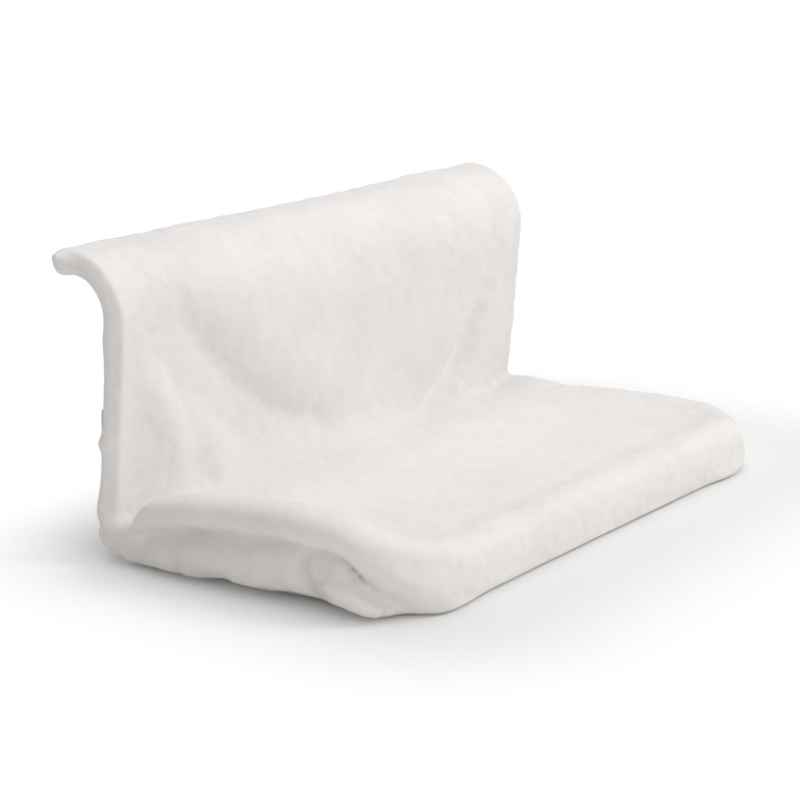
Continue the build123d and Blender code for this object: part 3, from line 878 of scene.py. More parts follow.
@dataclass(frozen=True)
class SeatForm:
    """The seat's body, the roll round its edge and the skirt under the roll.

    The knots of the seat's edge are counted along the plan of its tube, from the rear of the left side, and
    each table has a value for each knot. A rise is a height, the distances left of the middle between which
    it grows, and those in front of the corner.
    """

    layout: Layout
    # Upper face.
    top: float = 9.0
    rises: tuple[tuple[float, Span, Span], ...] = (
        (14.0, (120.0, 212.0), (20.0, 70.0)),
        (10.0, (180.0, 207.0), (24.0, 70.0)),
    )
    swell: float = 3.6
    swell_left: Span = (-180.0, -60.0)
    swell_right: Span = (140.0, 205.0)
    swell_front: Span = (90.0, 175.0)
    top_edge: float = 9.0
    # Underside.
    under_gap: float = 1.0
    under_rim: Span = (-14.0, 6.0)
    under_edge: float = 7.0
    # Roll, and the recess under it on the left.
    plan_rear: float = 30.0
    roll_rear: float = 2.0
    roll_end: float = 8.0
    roll_melt: Span = (3.0, 17.0)
    melt_along: Span = (185.0, 235.0)
    recess: float = 10.0
    recess_half: float = 9.0
    recess_start: Span = (24.0, 44.0)
    recess_end: Span = (196.0, 222.0)
    # Steps along the edge, and its tables and folds.
    course: Span = (-60.0, 880.0)
    course_step: float = 3.0
    knot_step: float = 2.0
    knot_blur: int = 9
    knots: Row = (
        -40, 0, 20, 28, 36, 44, 75, 110, 140, 165, 176, 184,
        194, 206, 224, 260, 380, 520, 560, 596, 630, 660, 720, 780,
    )
    roll_top: Row = (
        0, 2, 7, 16, 26, 31, 38, 42, 44, 43, 41.5, 38.5,
        33.5, 26.5, 18, 13.8, 13.4, 13.4, 13, 11.4, 11.2, 11.4, 9.8, 7,
    )
    roll_half: Row = (
        4, 5, 6, 7, 8, 9, 9, 9.5, 9.5, 9.5, 10.5, 14.5,
        17, 16.5, 15, 13, 13, 13.6, 15.2, 15, 14.5, 14.5, 13.5, 11,
    )
    roll_width: Row = (
        5, 6, 8, 9.5, 11, 12.5, 13, 13.5, 13.5, 13.5, 13.5, 15,
        15.5, 15, 13, 10.4, 10.8, 11.2, 12.8, 11, 10.6, 12, 12, 8,
    )
    skirt_out: Row = (
        4, 4.6, 6.4, 8, 8.8, 9.2, 9.4, 9.4, 9.4, 9.6, 10.2, 11.8,
        13, 13.4, 9.8, 3, 2.4, 2.8, 5.4, 4.6, 3.8, 5, 5, 4,
    )
    skirt_lift: Row = (1, 2, 2, 2, 2, 2.5, 3.5, 7, 10, 9, 6, 3, 1, 0, 0, 2, 2.5, 2, 0, 0, 0, 0, 0, 0)
    folds: tuple[Fold, ...] = (
        Fold(((143, 20), (152, 8), (163, -6)), -6.0, 5.0, 8.0),
        Fold(((160, 10), (176, 0), (196, -6)), 6.5, 8.0, 8.0),
        Fold(((60, 12), (95, 4), (128, 2)), 2.0, 7.0, 12.0),
        Fold(((46, 8), (58, -2), (66, -8)), -2.0, 5.0, 8.0),
    )

    def field(self, axes: Axes) -> Array:
        """Signed distance to the seat, with the roll round its edge.

        Args:
            axes: Places of the grid's points along X, Y and Z.

        Returns:
            The distance at each point of the grid.
        """
        x, y, z = axes
        across, depth = np.meshgrid(x, y, indexing="ij")
        out, along = self.layout.seat_plan(self.plan_rear).measure(across, depth)
        out = -out
        along = along - self.plan_rear
        top = z[None, None, :] - self._top(across, depth)[:, :, None]
        body = soft_cut(out[:, :, None] - self._skirt(along, z), top, self.top_edge)
        body = soft_cut(body, self._under(y, z, out, along), self.under_edge)
        roll = soft_cut(self._roll(z, out, along), (depth - self.roll_rear)[:, :, None], self.roll_end)
        least, more = self.roll_melt
        melt = least + more * smooth_step(along, *self.melt_along)
        return soft_union(body, roll, melt[:, :, None])

    def _top(self, across: Array, depth: Array) -> Array:
        """Height of the upper face: raised towards the bolster on the left and swollen towards the front.

        Args:
            across: X of each place.
            depth: Y of each place.

        Returns:
            The height at each place.
        """
        top = self.top
        for height, side, front in self.rises:
            top = top + height * smooth_step(-across, *side) * smooth_step(-depth, *front)
        swell = smooth_step(across, *self.swell_left) * (1.0 - smooth_step(across, *self.swell_right))
        return top + self.swell * (swell * smooth_step(-depth, *self.swell_front))

    def _under(self, y: Array, z: Array, out: Array, along: Array) -> Array:
        """Signed distance to the underside, which lies on the lining and is drawn up at the rim.

        Args:
            y: Places of the grid's points along Y.
            z: Places of the grid's points along Z.
            out: How far outside the tube each place of the plan lies.
            along: How far along the edge each place of the plan lies.

        Returns:
            The distance at each point of the grid.
        """
        above, _ = self.layout.lining_line().measure(*np.meshgrid(y, z, indexing="ij"))
        lift = self._table(self.skirt_lift, along) * smooth_step(out, *self.under_rim)
        return (self.under_gap + lift)[:, :, None] - above[None, :, :]

    def _roll(self, z: Array, out: Array, along: Array) -> Array:
        """Signed distance to the roll, an ellipse whose size and middle change along the edge.

        Args:
            z: Places of the grid's points along Z.
            out: How far outside the tube each place of the plan lies.
            along: How far along the edge each place of the plan lies.

        Returns:
            The distance at each point of the grid.
        """
        half = self._table(self.roll_half, along)[:, :, None]
        wide = self._table(self.roll_width, along)[:, :, None]
        centre = (self._table(self.roll_top, along) - self._table(self.roll_half, along))[:, :, None]
        round_share = np.sqrt((out[:, :, None] / wide) ** 2 + ((z[None, None, :] - centre) / half) ** 2)
        return (round_share - 1.0) * np.minimum(half, wide)

    def _skirt(self, along: Array, height: Array) -> Array:
        """How far out the seat's side stands: drawn in under the left roll, and folded.

        Args:
            along: How far along the edge each place of the plan lies.
            height: Places of the grid's points along Z.

        Returns:
            The distance from the tube, at each place of the plan and each height.
        """
        rows = np.arange(*self.course, self.course_step)
        place, level = np.meshgrid(rows, height, indexing="ij")
        crease = (self._table(self.roll_top, rows) - 2 * self._table(self.roll_half, rows))[:, None]
        start, end = self.recess_start, self.recess_end
        deep = self.recess * smooth_step(rows, *start) * (1.0 - smooth_step(rows, *end))
        drawn_in = deep[:, None] * np.exp(-(((level - crease) / self.recess_half) ** 2))
        face = self._table(self.skirt_out, rows)[:, None] - drawn_in
        face = face + sum(fold.lift(place, level) for fold in self.folds)
        return face[np.clip(((along - rows[0]) / self.course_step).astype(int), 0, len(rows) - 1)]

    def _table(self, values: Row, along: Array) -> Array:
        """Smooth course of a knot table.

        Args:
            values: The table's value at each knot.
            along: Distances along the seat's edge.

        Returns:
            The value at each distance.
        """
        knots = np.array(self.knots, float)
        fine = np.arange(knots[0], knots[-1], self.knot_step)
        plain = np.interp(fine, knots, np.array(values, float))
        kernel = np.hanning(self.knot_blur)
        padded = np.pad(plain, self.knot_blur // 2, mode="edge")
        soft = np.convolve(padded, kernel / kernel.sum(), mode="valid")
        return np.interp(along, fine, soft)


@dataclass(frozen=True)
class BackForm:
    """The back's slack panel, the two edges round the side tubes and the hem on the top bar.

    A bulge of the edges is a thickness, a height and a spread. The ear is the corner of plush that is pulled
    up at the left end of the hem: how far out and how far above the bar it starts and ends.
    """

    layout: Layout
    # Edges, with the plush over the tubes' joints.
    edge_radius: float = 4.4
    edge_start: float = 34.0
    edge_melt: float = 8.0
    edge_bulges: tuple[Place, ...] = ((2.4, 12.0, 15.0), (1.8, 122.0, 14.0))
    bulge_face: Span = (-5.0, 1.0)
    joint_out: float = 2.6
    joint_radius: float = 4.5
    joint_melt: float = 5.0
    # Hem and its left end.
    hem_radius: float = 5.2
    hem_melt: float = 7.0
    hem_slack: float = 1.8
    hem_slack_side: Span = (110.0, 170.0)
    hem_tip_radius: float = 4.6
    hem_taper: float = 196.0
    hem_reach: float = 218.5
    ear: tuple[Span, Span] = ((202.0, 1.5), (219.5, 4.6))
    ear_radius: float = 3.0
    ear_melt: float = 4.0
    # Panel: its sheet, its slack, where its folds are held, and the sag of its top.
    panel_front: float = 7.0
    panel_thickness: float = 3.8
    panel_foot: float = 8.0
    panel_course: Span = (-10.0, 230.0)
    panel_step: float = 2.0
    slack: float = 7.0
    slack_side: Span = (2.0, 60.0)
    slack_up: Span = (110.0, 185.0)
    held_side: Span = (4.0, 26.0)
    held_up: Span = (150.0, 190.0)
    floor: float = 0.6
    floor_melt: float = 2.6
    sag: float = 1.8
    sag_place: float = 30.0
    sag_half: float = 70.0
    sag_up: Span = (165.0, 185.0)
    # Notches for the rails.
    notch_half_width: float = 17.0
    notch_top: float = 2.4
    notch_front: float = 9.0
    notch_bend: float = 3.0
    notch_edge: float = 1.5
    folds: tuple[Fold, ...] = (
        Fold(((-190, 140), (-148, 94), (-97, 52), (-49, 28), (4, 10)), -13.0, 19.0, 40.0),
        Fold(((-150, 156), (-100, 112), (-56, 78), (-8, 52)), 4.0, 26.0, 50.0),
        Fold(((-198, 104), (-162, 56), (-122, 22), (-84, 6)), 5.0, 17.0, 40.0),
        Fold(((-172, 108), (-148, 40), (-136, 14)), -5.0, 10.0, 30.0),
        Fold(((192, 150), (173, 114), (153, 82), (132, 42), (99, 18), (54, 4)), -8.5, 8.0, 18.0),
        Fold(((166, 152), (138, 108), (110, 66), (72, 32)), 3.0, 20.0, 30.0),
        Fold(((203, 140), (187, 108), (167, 74), (147, 34), (116, 8)), 5.5, 9.0, 24.0),
        Fold(((-70, 150), (5, 142), (90, 138)), -5.0, 24.0, 40.0),
    )

    def field(self, axes: Axes) -> Array:
        """Signed distance to the back, less the notches where the rails pass the hem.

        Args:
            axes: Places of the grid's points along X, Y and Z.

        Returns:
            The distance at each point of the grid.
        """
        x, y, z = axes
        gy, gz = np.meshgrid(y, z, indexing="ij")
        beside = (np.abs(x) - self.layout.half_width)[:, None, None]
        panel = np.maximum(self._panel(x, gy, gz), beside)
        back = soft_union(panel, self._edges(beside, gy, gz), self.edge_melt)
        back = soft_union(back, self._hem(x, gy, gz), self.hem_melt)
        return soft_cut(back, -self._notch(x, gy, gz), self.notch_edge)

    def _edges(self, beside: Array, gy: Array, gz: Array) -> Array:
        """Signed distance to the edges round the side tubes, and to the plush over their joints.

        Args:
            beside: How far outside the side tube each X of the grid lies.
            gy: Y of each point of the side view.
            gz: Z of each point of the side view.

        Returns:
            The distance at each point of the grid.
        """
        side, _ = self.layout.side_line(self.edge_start).measure(gy, gz)
        thick = np.full(gz.shape, self.edge_radius)
        for bulge, height, spread in self.edge_bulges:
            round_height = np.exp(-(((gz - height) / spread) ** 2))
            thick = thick + bulge * round_height * smooth_step(-side, *self.bulge_face)
        edges = np.hypot(beside, side[None, :, :]) - thick[None, :, :]
        from_joint = np.hypot(side, gz - self.layout.joint_height)
        joint = np.hypot(beside - self.joint_out, from_joint[None, :, :]) - self.joint_radius
        return soft_union(edges, joint, self.joint_melt)

    def _hem(self, x: Array, gy: Array, gz: Array) -> Array:
        """Signed distance to the hem on the top bar, which is slack on the left and drawn in at both tips.

        Args:
            x: Places of the grid's points along X.
            gy: Y of each point of the side view.
            gz: Z of each point of the side view.

        Returns:
            The distance at each point of the grid.
        """
        to_bar = np.hypot(gy - self.layout.top_bar_y, gz - self.layout.back_height)
        full = self.hem_radius + self.hem_slack * smooth_step(-x, *self.hem_slack_side)
        radius = full + (self.hem_tip_radius - full) * smooth_step(np.abs(x), self.hem_taper, self.hem_reach)
        past = np.maximum(np.abs(x) - self.hem_reach + self.hem_tip_radius, 0.0)[:, None, None]
        hem = np.hypot(to_bar[None, :, :], past) - radius[:, None, None]
        return soft_union(hem, self._ear(x, gy, gz), self.ear_melt)

    def _ear(self, x: Array, gy: Array, gz: Array) -> Array:
        """Signed distance to the pulled-up corner of plush at the left end of the hem.

        Args:
            x: Places of the grid's points along X.
            gy: Y of each point of the side view.
            gz: Z of each point of the side view.

        Returns:
            The distance at each point of the grid.
        """
        (near, rise), (far, tip) = self.ear
        outward = -x[:, None, None]
        upward = (gz - self.layout.back_height)[None, :, :]
        run, climb = far - near, tip - rise
        share = np.clip(((outward - near) * run + (upward - rise) * climb) / (run**2 + climb**2), 0.0, 1.0)
        flat = np.hypot(outward - near - share * run, upward - rise - share * climb)
        return np.hypot(flat, (gy - self.layout.top_bar_y)[None, :, :]) - self.ear_radius

    def _panel(self, x: Array, gy: Array, gz: Array) -> Array:
        """Signed distance to the panel between the edges.

        Args:
            x: Places of the grid's points along X.
            gy: Y of each point of the side view.
            gz: Z of each point of the side view.

        Returns:
            The distance at each point of the grid.
        """
        front, up = self.layout.back_line(-self.panel_foot).measure(gy, gz)
        up = up - self.panel_foot
        rows = np.arange(*self.panel_course, self.panel_step)
        lift = self._lift(*np.meshgrid(x, rows, indexing="ij"))
        low = np.clip(((up - rows[0]) / self.panel_step).astype(int), 0, len(rows) - 2)
        share = np.clip((up - rows[low]) / self.panel_step, 0.0, 1.0)
        moved = lift[:, low] * (1.0 - share) + lift[:, low + 1] * share
        rear = self.panel_front - self.panel_thickness + np.minimum(moved, 0.0)
        return np.maximum(front[None, :, :] - self.panel_front - moved, rear - front[None, :, :])

    def _lift(self, across: Array, upward: Array) -> Array:
        """How far the slack plush stands in front of its plain sheet, folds and all.

        Args:
            across: X of each place.
            upward: How far up the panel each place lies.

        Returns:
            The distance at each place.
        """
        inside = self.layout.half_width - np.abs(across)
        full = smooth_step(inside, *self.slack_side) * (1.0 - smooth_step(upward, *self.slack_up))
        held = smooth_step(inside, *self.held_side) * (1.0 - smooth_step(upward, *self.held_up))
        folded = sum(fold.lift(across, upward) for fold in self.folds) * held
        dip = self.sag * np.exp(-(((across - self.sag_place) / self.sag_half) ** 2))
        dip = dip * smooth_step(upward, *self.sag_up)
        return soft_cut(self.slack * full + folded, -self.floor, self.floor_melt) - dip

    def _notch(self, x: Array, gy: Array, gz: Array) -> Array:
        """Signed distance to the two notches in the hem's rear, where the rails pass.

        Args:
            x: Places of the grid's points along X.
            gy: Y of each point of the side view.
            gz: Z of each point of the side view.

        Returns:
            The distance at each point of the grid.
        """
        from_rail = np.abs(np.abs(x) - self.layout.rail_middle)[:, None, None] - self.notch_half_width
        below = (gz - self.layout.back_height - self.notch_top)[None, :, :]
        behind = (self.layout.top_bar_y - self.notch_front - gy)[None, :, :]
        return soft_cut(soft_cut(from_rail, below, self.notch_bend), behind, self.notch_bend)


@dataclass
class PlushCover:
    """The plush cover: one soft form from the hem on the top bar to the roll round the seat's front.

    The room is the grid's space beside and in front of the tubes, below the seat, and over and behind the
    back. A lump of the pile is a seed, a size and a height. The lining draws the plush in where the sides of
    the back meet it, between the two places where that starts and the two where it ends.
    """

    layout: Layout
    # Skin.
    step: float = 1.8
    quick_step: float = 2.5
    smooth_rounds: int = 2
    smooth_share: float = 0.5
    crook_melt: Span = (2.5, 29.0)
    room: Place = (24.0, 4.0, 16.0)
    # Cloth that swells the seat.
    cloth_step: float = 6.0
    cloth_frames: int = 20
    cloth_pressure: float = 4.0
    cloth_stiffness: float = 0.4
    cloth_growth: float = 0.05
    cloth_held: Span = (5.0, 14.0)
    cloth_cap: float = 2.5
    cloth_rounds: int = 5
    cloth_height: float = 60.0
    cloth_neighbours: int = 5
    # Pile: its lumps, and where it lies tight or free.
    lumps: tuple[tuple[int, float, float], ...] = ((3, 30.0, 0.7), (5, 10.0, 0.65), (7, 4.8, 0.45))
    tight: float = 0.7
    tight_side: Span = (8.0, 22.0)
    tight_up: Span = (10.0, 40.0)
    free_above: Span = (0.5, 6.0)
    # Lining and floor.
    lining_gap: float = 1.0
    lining_ease: float = 0.8
    lining_pull: float = 4.2
    lining_drawn: tuple[Span, Span] = ((193.0, 208.0), (209.5, 213.5))
    lining_pull_up: Span = (-6.0, 14.0)
    slope_step: float = 0.1
    floor_gap: float = 0.1

    def __post_init__(self) -> None:
        """Sets up the two forms that the cover joins."""
        self.seat = SeatForm(self.layout)
        self.back = BackForm(self.layout)

    def field(self, axes: Axes) -> Array:
        """Signed distance to the whole cover, whose seat and back melt together most in the crook's middle.

        Args:
            axes: Places of the grid's points along X, Y and Z.

        Returns:
            The distance at each point of the grid.
        """
        seat = self.seat.field(axes)
        back = self.back.field(axes)
        middle = 1.0 - (np.abs(axes[0]) / self.layout.half_width) ** 2
        least, more = self.crook_melt
        return soft_union(seat, back, (least + more * np.clip(middle, 0.0, 1.0))[:, None, None])

    def skin(self, step: float, source: Callable[[Axes], Array], name: str) -> Piece:
        """Mesh over one of the cover's fields.

        Args:
            step: Distance between the grid's points.
            source: Gives the signed distance on a grid.
            name: Name of the piece.

        Returns:
            The mesh as an object.
        """
        beside, below, over = self.room
        reach = self.layout.half_width + beside
        low = (-reach, -self.layout.seat_depth - beside, self.layout.seat_bottom - below)
        high = (reach, self.layout.top_bar_y + over, self.layout.back_height + over)
        grid = Skin(low, high, step)
        places, faces = grid.mesh(source(grid.axes))
        return mesh_object(name, places, faces, self.layout)

    def build(self) -> Piece:
        """Makes the cover's skin, lets the seat swell and adds the lumps of the pile.

        Returns:
            The cover as one closed mesh.
        """
        cover = self.skin(self.step, self.field, "plush_cover")
        even = cover.modifiers.new("even", "SMOOTH")
        even.iterations = self.smooth_rounds
        even.factor = self.smooth_share
        apply_modifiers(cover)
        places = read_places(cover, self.layout)
        places = places + self._follow(places, *self._swell())
        write_places(cover, places, self.layout)
        normals = read_normals(cover)
        lumps = sum(height * LumpNoise(seed, size).at(places) for seed, size, height in self.lumps)
        places = places + normals * (lumps * self._loose(places))[:, None]
        write_places(cover, self._settle(places), self.layout)
        return cover

    def _swell(self) -> tuple[Array, Array]:
        """Inflates a coarse copy of the seat as cloth that is held at the floor and in the crook.

        Returns:
            Places on the seat before the cloth moves, and how far each moves.
        """
        seat = self.skin(self.cloth_step, self.seat.field, "seat_cloth")
        before = read_places(seat, self.layout)
        floor, rear = self.cloth_held
        fixed = np.flatnonzero((before[:, 2] < self.layout.seat_bottom + floor) | (before[:, 1] > -rear))
        held = seat.vertex_groups.new(name="held")
        held.add(fixed.tolist(), 1.0, "REPLACE")
        cloth = seat.modifiers.new("cloth", "CLOTH")
        cloth.settings.use_pressure = True
        cloth.settings.uniform_pressure_force = self.cloth_pressure
        cloth.settings.effector_weights.gravity = 0.0
        cloth.settings.vertex_group_mass = held.name
        cloth.settings.bending_stiffness = self.cloth_stiffness
        cloth.settings.shrink_min = -self.cloth_growth
        cloth.point_cache.frame_start = 1
        cloth.point_cache.frame_end = self.cloth_frames
        for moment in range(self.cloth_frames):
            bpy.context.scene.frame_set(moment + 1)
        apply_modifiers(seat)
        moves = self._even_out(seat, read_places(seat, self.layout) - before)
        bpy.context.scene.frame_set(1)
        bpy.data.objects.remove(seat)
        far = np.linalg.norm(moves, axis=1)
        LOG.info("cloth moved the seat %.1f mm on average, %.1f mm at most", far.mean(), far.max())
        return before, moves * (np.minimum(far, self.cloth_cap) / np.maximum(far, TINY))[:, None]

    def _even_out(self, cloth: Piece, moves: Array) -> Array:
        """Evens out the cloth's moves between neighbours, so that the fine skin doesn't crumple.

        Args:
            cloth: The coarse cloth, whose edges say which vertices are neighbours.
            moves: How far each vertex moves.

        Returns:
            The moves, evened out.
        """
        ends = np.zeros(2 * len(cloth.data.edges), np.int32)
        cloth.data.edges.foreach_get("vertices", ends)
        first, second = ends.reshape(-1, 2).T
        count = np.maximum(np.bincount(ends, minlength=len(moves)), 1)[:, None]
        for _ in range(self.cloth_rounds):
            total = np.zeros_like(moves)
            np.add.at(total, first, moves[second])
            np.add.at(total, second, moves[first])
            moves = (moves + total / count) / 2.0
        return moves

    def _follow(self, places: Array, before: Array, moves: Array) -> Array:
        """Moves of the fine skin, from the nearest places of the coarse one.

        Args:
            places: Vertices of the fine skin.
            before: Vertices of the coarse cloth before it moved.
            moves: How far each of them moves.

        Returns:
            How far each vertex of the fine skin moves.
        """
        tree = KDTree(len(before))
        for index, place in enumerate(before):
            tree.insert(place, index)
        tree.balance()
        result = np.zeros_like(places)
        # Cloth that lies more than two of its own steps away has no say.
        reach = 2.0 * self.cloth_step
        for row in np.flatnonzero(places[:, 2] <= self.cloth_height):
            found = tree.find_n(places[row], self.cloth_neighbours)
            nearest = found[0][2]
            if nearest > reach:
                continue
            weights = np.array([1.0 / (distance + 1.0) ** 2 for _, _, distance in found])
            shift = (moves[[index for _, index, _ in found]] * weights[:, None]).sum(axis=0) / weights.sum()
            result[row] = shift * (1.0 - (nearest / reach) ** 2)
        return result

    def _loose(self, places: Array) -> Array:
        """How freely the pile stands up: less where it is drawn tight round a tube or lies on the lining.

        Args:
            places: Vertices of the skin.

        Returns:
            A share from 0 to 1 for each vertex.
        """
        beside = self.layout.half_width - np.abs(places[:, 0])
        tight = 1.0 - smooth_step(np.abs(beside), *self.tight_side)
        tight = tight * smooth_step(places[:, 2], *self.tight_up)
        above, _ = self.layout.lining_line().measure(places[:, 1], places[:, 2])
        free = np.where(places[:, 2] > self.layout.lining_top, 1.0, smooth_step(above, *self.free_above))
        return (1.0 - self.tight * tight) * free

    def _settle(self, places: Array) -> Array:
        """Keeps the plush on its side of the lining and above whatever the hammock stands on.

        Args:
            places: Vertices of the skin.

        Returns:
            The vertices, pushed off the lining and the floor.
        """
        line = self.layout.lining_line()
        y, z = places[:, 1], places[:, 2]
        above, _ = line.measure(y, z)
        step = self.slope_step
        steps = np.stack([line.measure(y + step, z)[0], line.measure(y, z + step)[0]], axis=1)
        slope = (steps - above[:, None]) / step
        across = np.abs(places[:, 0])
        start, end = self.lining_drawn
        drawn = smooth_step(across, *start) * (1.0 - smooth_step(across, *end))
        drawn = drawn * smooth_step(z, *self.lining_pull_up) * self.lining_pull
        short = self.lining_gap + drawn - above
        push = (short + np.hypot(short, self.lining_ease)) / 2 * (z < self.layout.lining_top)
        places[:, 1:] += slope * push[:, None]
        places[:, 2] = np.maximum(places[:, 2], self.layout.seat_bottom + self.floor_gap)
        return places


# Linings


@dataclass
class LiningSheet:
    """A sheet of woven lining, laid out by rows along its side view and columns across it."""

    layout: Layout
    name: str = "lining"
    thickness: float = 1.2
    step: float = 4.0
    column_count: int = 105
    ripple: float = 0.7
    ripple_size: float = 36.0
    ripple_seed: int = 11
    edge_width: float = 18.0
    edge_rim: float = 3.0
    edge_pull: float = 0.0
    flat_size: Span = (0.0, 0.0)
    flat_area: float = 0.0

    def course(self) -> tuple[FlatLine, float, float]:
        """Side view of the sheet's middle, and the lengths along it where the sheet starts and ends."""
        raise NotImplementedError

    def half_width(self, place: Array) -> float:
        """Half of the sheet's width at a place of its side view."""
        raise NotImplementedError

    def still(self, across: Array, place: Array) -> Array:
        """Where the cloth is held flat, from 0 to 1."""
        raise NotImplementedError

    def seams(self) -> list[Array]:
        """Places along each row of stitches, on the sheet's rear face."""
        raise NotImplementedError

    def columns(self) -> Array:
        """Places across the sheet, as shares of its half width."""
        return np.linspace(-1.0, 1.0, self.column_count)

    def open_at(self, across: float, height: float) -> bool:
        """Whether the sheet is cut away at a place."""
        return False

    def band(self, height: float) -> float:
        """Extra lift of a folded hem at a height."""
        return 0.0

    def pull(self, height: float) -> float:
        """How far the sides are drawn forwards, against the rolls over the tubes."""
        return self.edge_pull

    def build(self) -> Piece:
        """Makes the sheet's mesh with its flat map, and gives it its thickness.

        Returns:
            The sheet as one closed mesh.
        """
        line, first, last = self.course()
        shares = self.columns()
        noise = LumpNoise(self.ripple_seed, self.ripple_size)
        places, flats = [], []
        for row in np.linspace(first, last, math.ceil((last - first) / self.step) + 1):
            spot, outward = line.at(row), line.right_of(row)
            across = shares * self.half_width(spot)
            rim = smooth_step(np.abs(across), across[-1] - self.edge_width, across[-1] - self.edge_rim)
            level = np.full(len(across), row)
            lumps = noise.at(np.stack([across, np.full(len(across), spot[0]), level], axis=1))
            lift = self.ripple * (1.0 + lumps) * (1.0 - self.still(across, spot)) + self.band(spot[1])
            lift -= self.pull(spot[1]) * rim
            y, z = spot[0] + outward[0] * lift, spot[1] + outward[1] * lift
            places.append(np.stack([across, y, z], axis=1))
            flats.append(np.stack([across, level], axis=1))
        return self._mesh(np.array(places), np.array(flats))

    def _mesh(self, places: Array, flats: Array) -> Piece:
        """Joins the sheet's places and measures its flat size.

        Args:
            places: Place of each row and column in the hammock's axes.
            flats: The same on the cloth laid flat.

        Returns:
            The sheet as one closed mesh.
        """
        count, width = places.shape[:2]
        faces = []
        area = 0.0
        for i in range(count - 1):
            for j in range(width - 1):
                middle = (places[i, j] + places[i + 1, j + 1]) / 2
                if self.open_at(middle[0], middle[2]):
                    continue
                start, above = i * width + j, (i + 1) * width + j
                faces.append((start, start + 1, above + 1, above))
                mean = (flats[i, j + 1, 0] - flats[i, j, 0] + flats[i + 1, j + 1, 0] - flats[i + 1, j, 0]) / 2
                area += mean * (flats[i + 1, j, 1] - flats[i, j, 1])
        sheet = mesh_object(self.name, places.reshape(-1, 3), faces, self.layout)
        corners = np.zeros(len(sheet.data.loops), np.int32)
        sheet.data.loops.foreach_get("vertex_index", corners)
        flat_map = sheet.data.uv_layers.new(name=FLAT_MAP)
        flat_map.data.foreach_set("uv", (flats.reshape(-1, 2)[corners] * MM).astype(np.float32).ravel())
        wall = sheet.modifiers.new("wall", "SOLIDIFY")
        wall.thickness = self.thickness * MM
        wall.offset = 0.0
        apply_modifiers(sheet)
        self.flat_size = (np.ptp(flats[:, :, 0]) * MM, np.ptp(flats[:, :, 1]) * MM)
        self.flat_area = area * MM * MM
        return sheet


@dataclass
class SeatLining(LiningSheet):
    """The seat's woven underside, which turns up behind the crook and closes over the back's lining.

    It comes to be held flat from a little below the closure's lower edge to a little above it, and the pull
    on its sides lessens between two places below that edge.
    """

    name: str = "seat_lining_cloth"
    inset: float = 15.7
    back_half_width: float = 211.0
    widening: Span = (-10.0, 10.0)
    edge_pull: float = 4.2
    closure_pull: float = 2.0
    pull_start: Span = (-6.0, 14.0)
    pull_less: Span = (12.0, 4.0)
    floor_end: Span = (-6.0, 12.0)
    closure_start: Span = (8.0, 4.0)
    hem_height: float = 10.0
    hem_lift: float = 0.5
    hem_fold: float = 1.0
    eyelet_room: float = 12.0
    seam_rows: Span = (2.0, 8.0)
    seam_half_width: float = 186.0
    seam_places: int = 60
    side_seam_half_width: float = 189.0
    side_seam_foot: float = 14.0
    side_seam_gap: float = 3.0
    side_seam_places: int = 20
    stitch_lift: float = 0.2

    def course(self) -> tuple[FlatLine, float, float]:
        """Along the underside from the front, up behind the crook and up to the closure.

        Returns:
            The sheet's side view, and the lengths along it where the sheet starts and ends.
        """
        line = self.layout.lining_line()
        last = float(np.interp(self.layout.lining_top, line.points[:, 1], line.reach))
        return line, self.layout.seat_depth + self.inset, last

    def half_width(self, place: Array) -> float:
        """Rounded with the frame's corners at the front, wider behind the back.

        Args:
            place: Y and Z of a place on the side view.

        Returns:
            Half of the sheet's width there.
        """
        bend = self.layout.corner_bend
        radius = bend - self.inset
        past = np.clip(-self.layout.seat_depth + bend - place[0], 0.0, radius)
        round_front = self.layout.half_width - bend + math.sqrt(radius**2 - past**2)
        inner = self.layout.half_width - self.inset
        wider = (self.back_half_width - inner) * smooth_step(place[1], *self.widening)
        return round_front + wider if place[0] > -self.layout.seat_depth + bend else round_front

    def still(self, across: Array, place: Array) -> Array:
        """Flat on the floor, round the eyelets and at the closure.

        Args:
            across: Places across the sheet.
            place: Y and Z of their row on the side view.

        Returns:
            How firmly each is held, from 0 to 1.
        """
        below, over = self.closure_start
        closure = self.layout.closure_height
        low = 1.0 - smooth_step(place[1], *self.floor_end)
        high = smooth_step(place[1], closure - below, closure + over)
        beside = np.abs(across) - self.layout.bumper_middle
        from_eyelet = np.hypot(beside, place[1] - self.layout.bumper_height)
        near = 1.0 - smooth_step(from_eyelet, self.eyelet_room, 2 * self.eyelet_room)
        return np.clip(near + max(low, high), 0.0, 1.0)

    def band(self, height: float) -> float:
        """The hem along the upper edge is cloth folded double."""
        edge = self.layout.lining_top - self.hem_height
        return self.hem_lift * smooth_step(height, edge - self.hem_fold, edge + self.hem_fold)

    def pull(self, height: float) -> float:
        """Nothing under the seat, most beside the foot and less where the back's lining lies between.

        Args:
            height: Height of a row.

        Returns:
            How far the row's ends are drawn forwards.
        """
        low, high = (self.layout.closure_height - below for below in self.pull_less)
        less = (self.edge_pull - self.closure_pull) * smooth_step(height, low, high)
        return (self.edge_pull - less) * smooth_step(height, *self.pull_start)

    def seams(self) -> list[Array]:
        """Lines of the hem's two rows of stitches and of the two side seams.

        Returns:
            Places along each row of stitches, on the sheet's rear face.
        """
        rear = self.layout.seat_lining_rear + self.stitch_lift
        top = self.layout.lining_top
        lines = []
        for below in self.seam_rows:
            y = self.layout.back_y(top - below, rear + self.hem_lift)
            across = np.linspace(-self.seam_half_width, self.seam_half_width, self.seam_places)
            lines.append(np.array([(x, y, top - below) for x in across]))
        for side in (-1, 1):
            x = side * self.side_seam_half_width
            heights = np.linspace(self.side_seam_foot, top - self.side_seam_gap, self.side_seam_places)
            lines.append(np.array([(x, self.layout.back_y(z, rear), z) for z in heights]))
        return lines


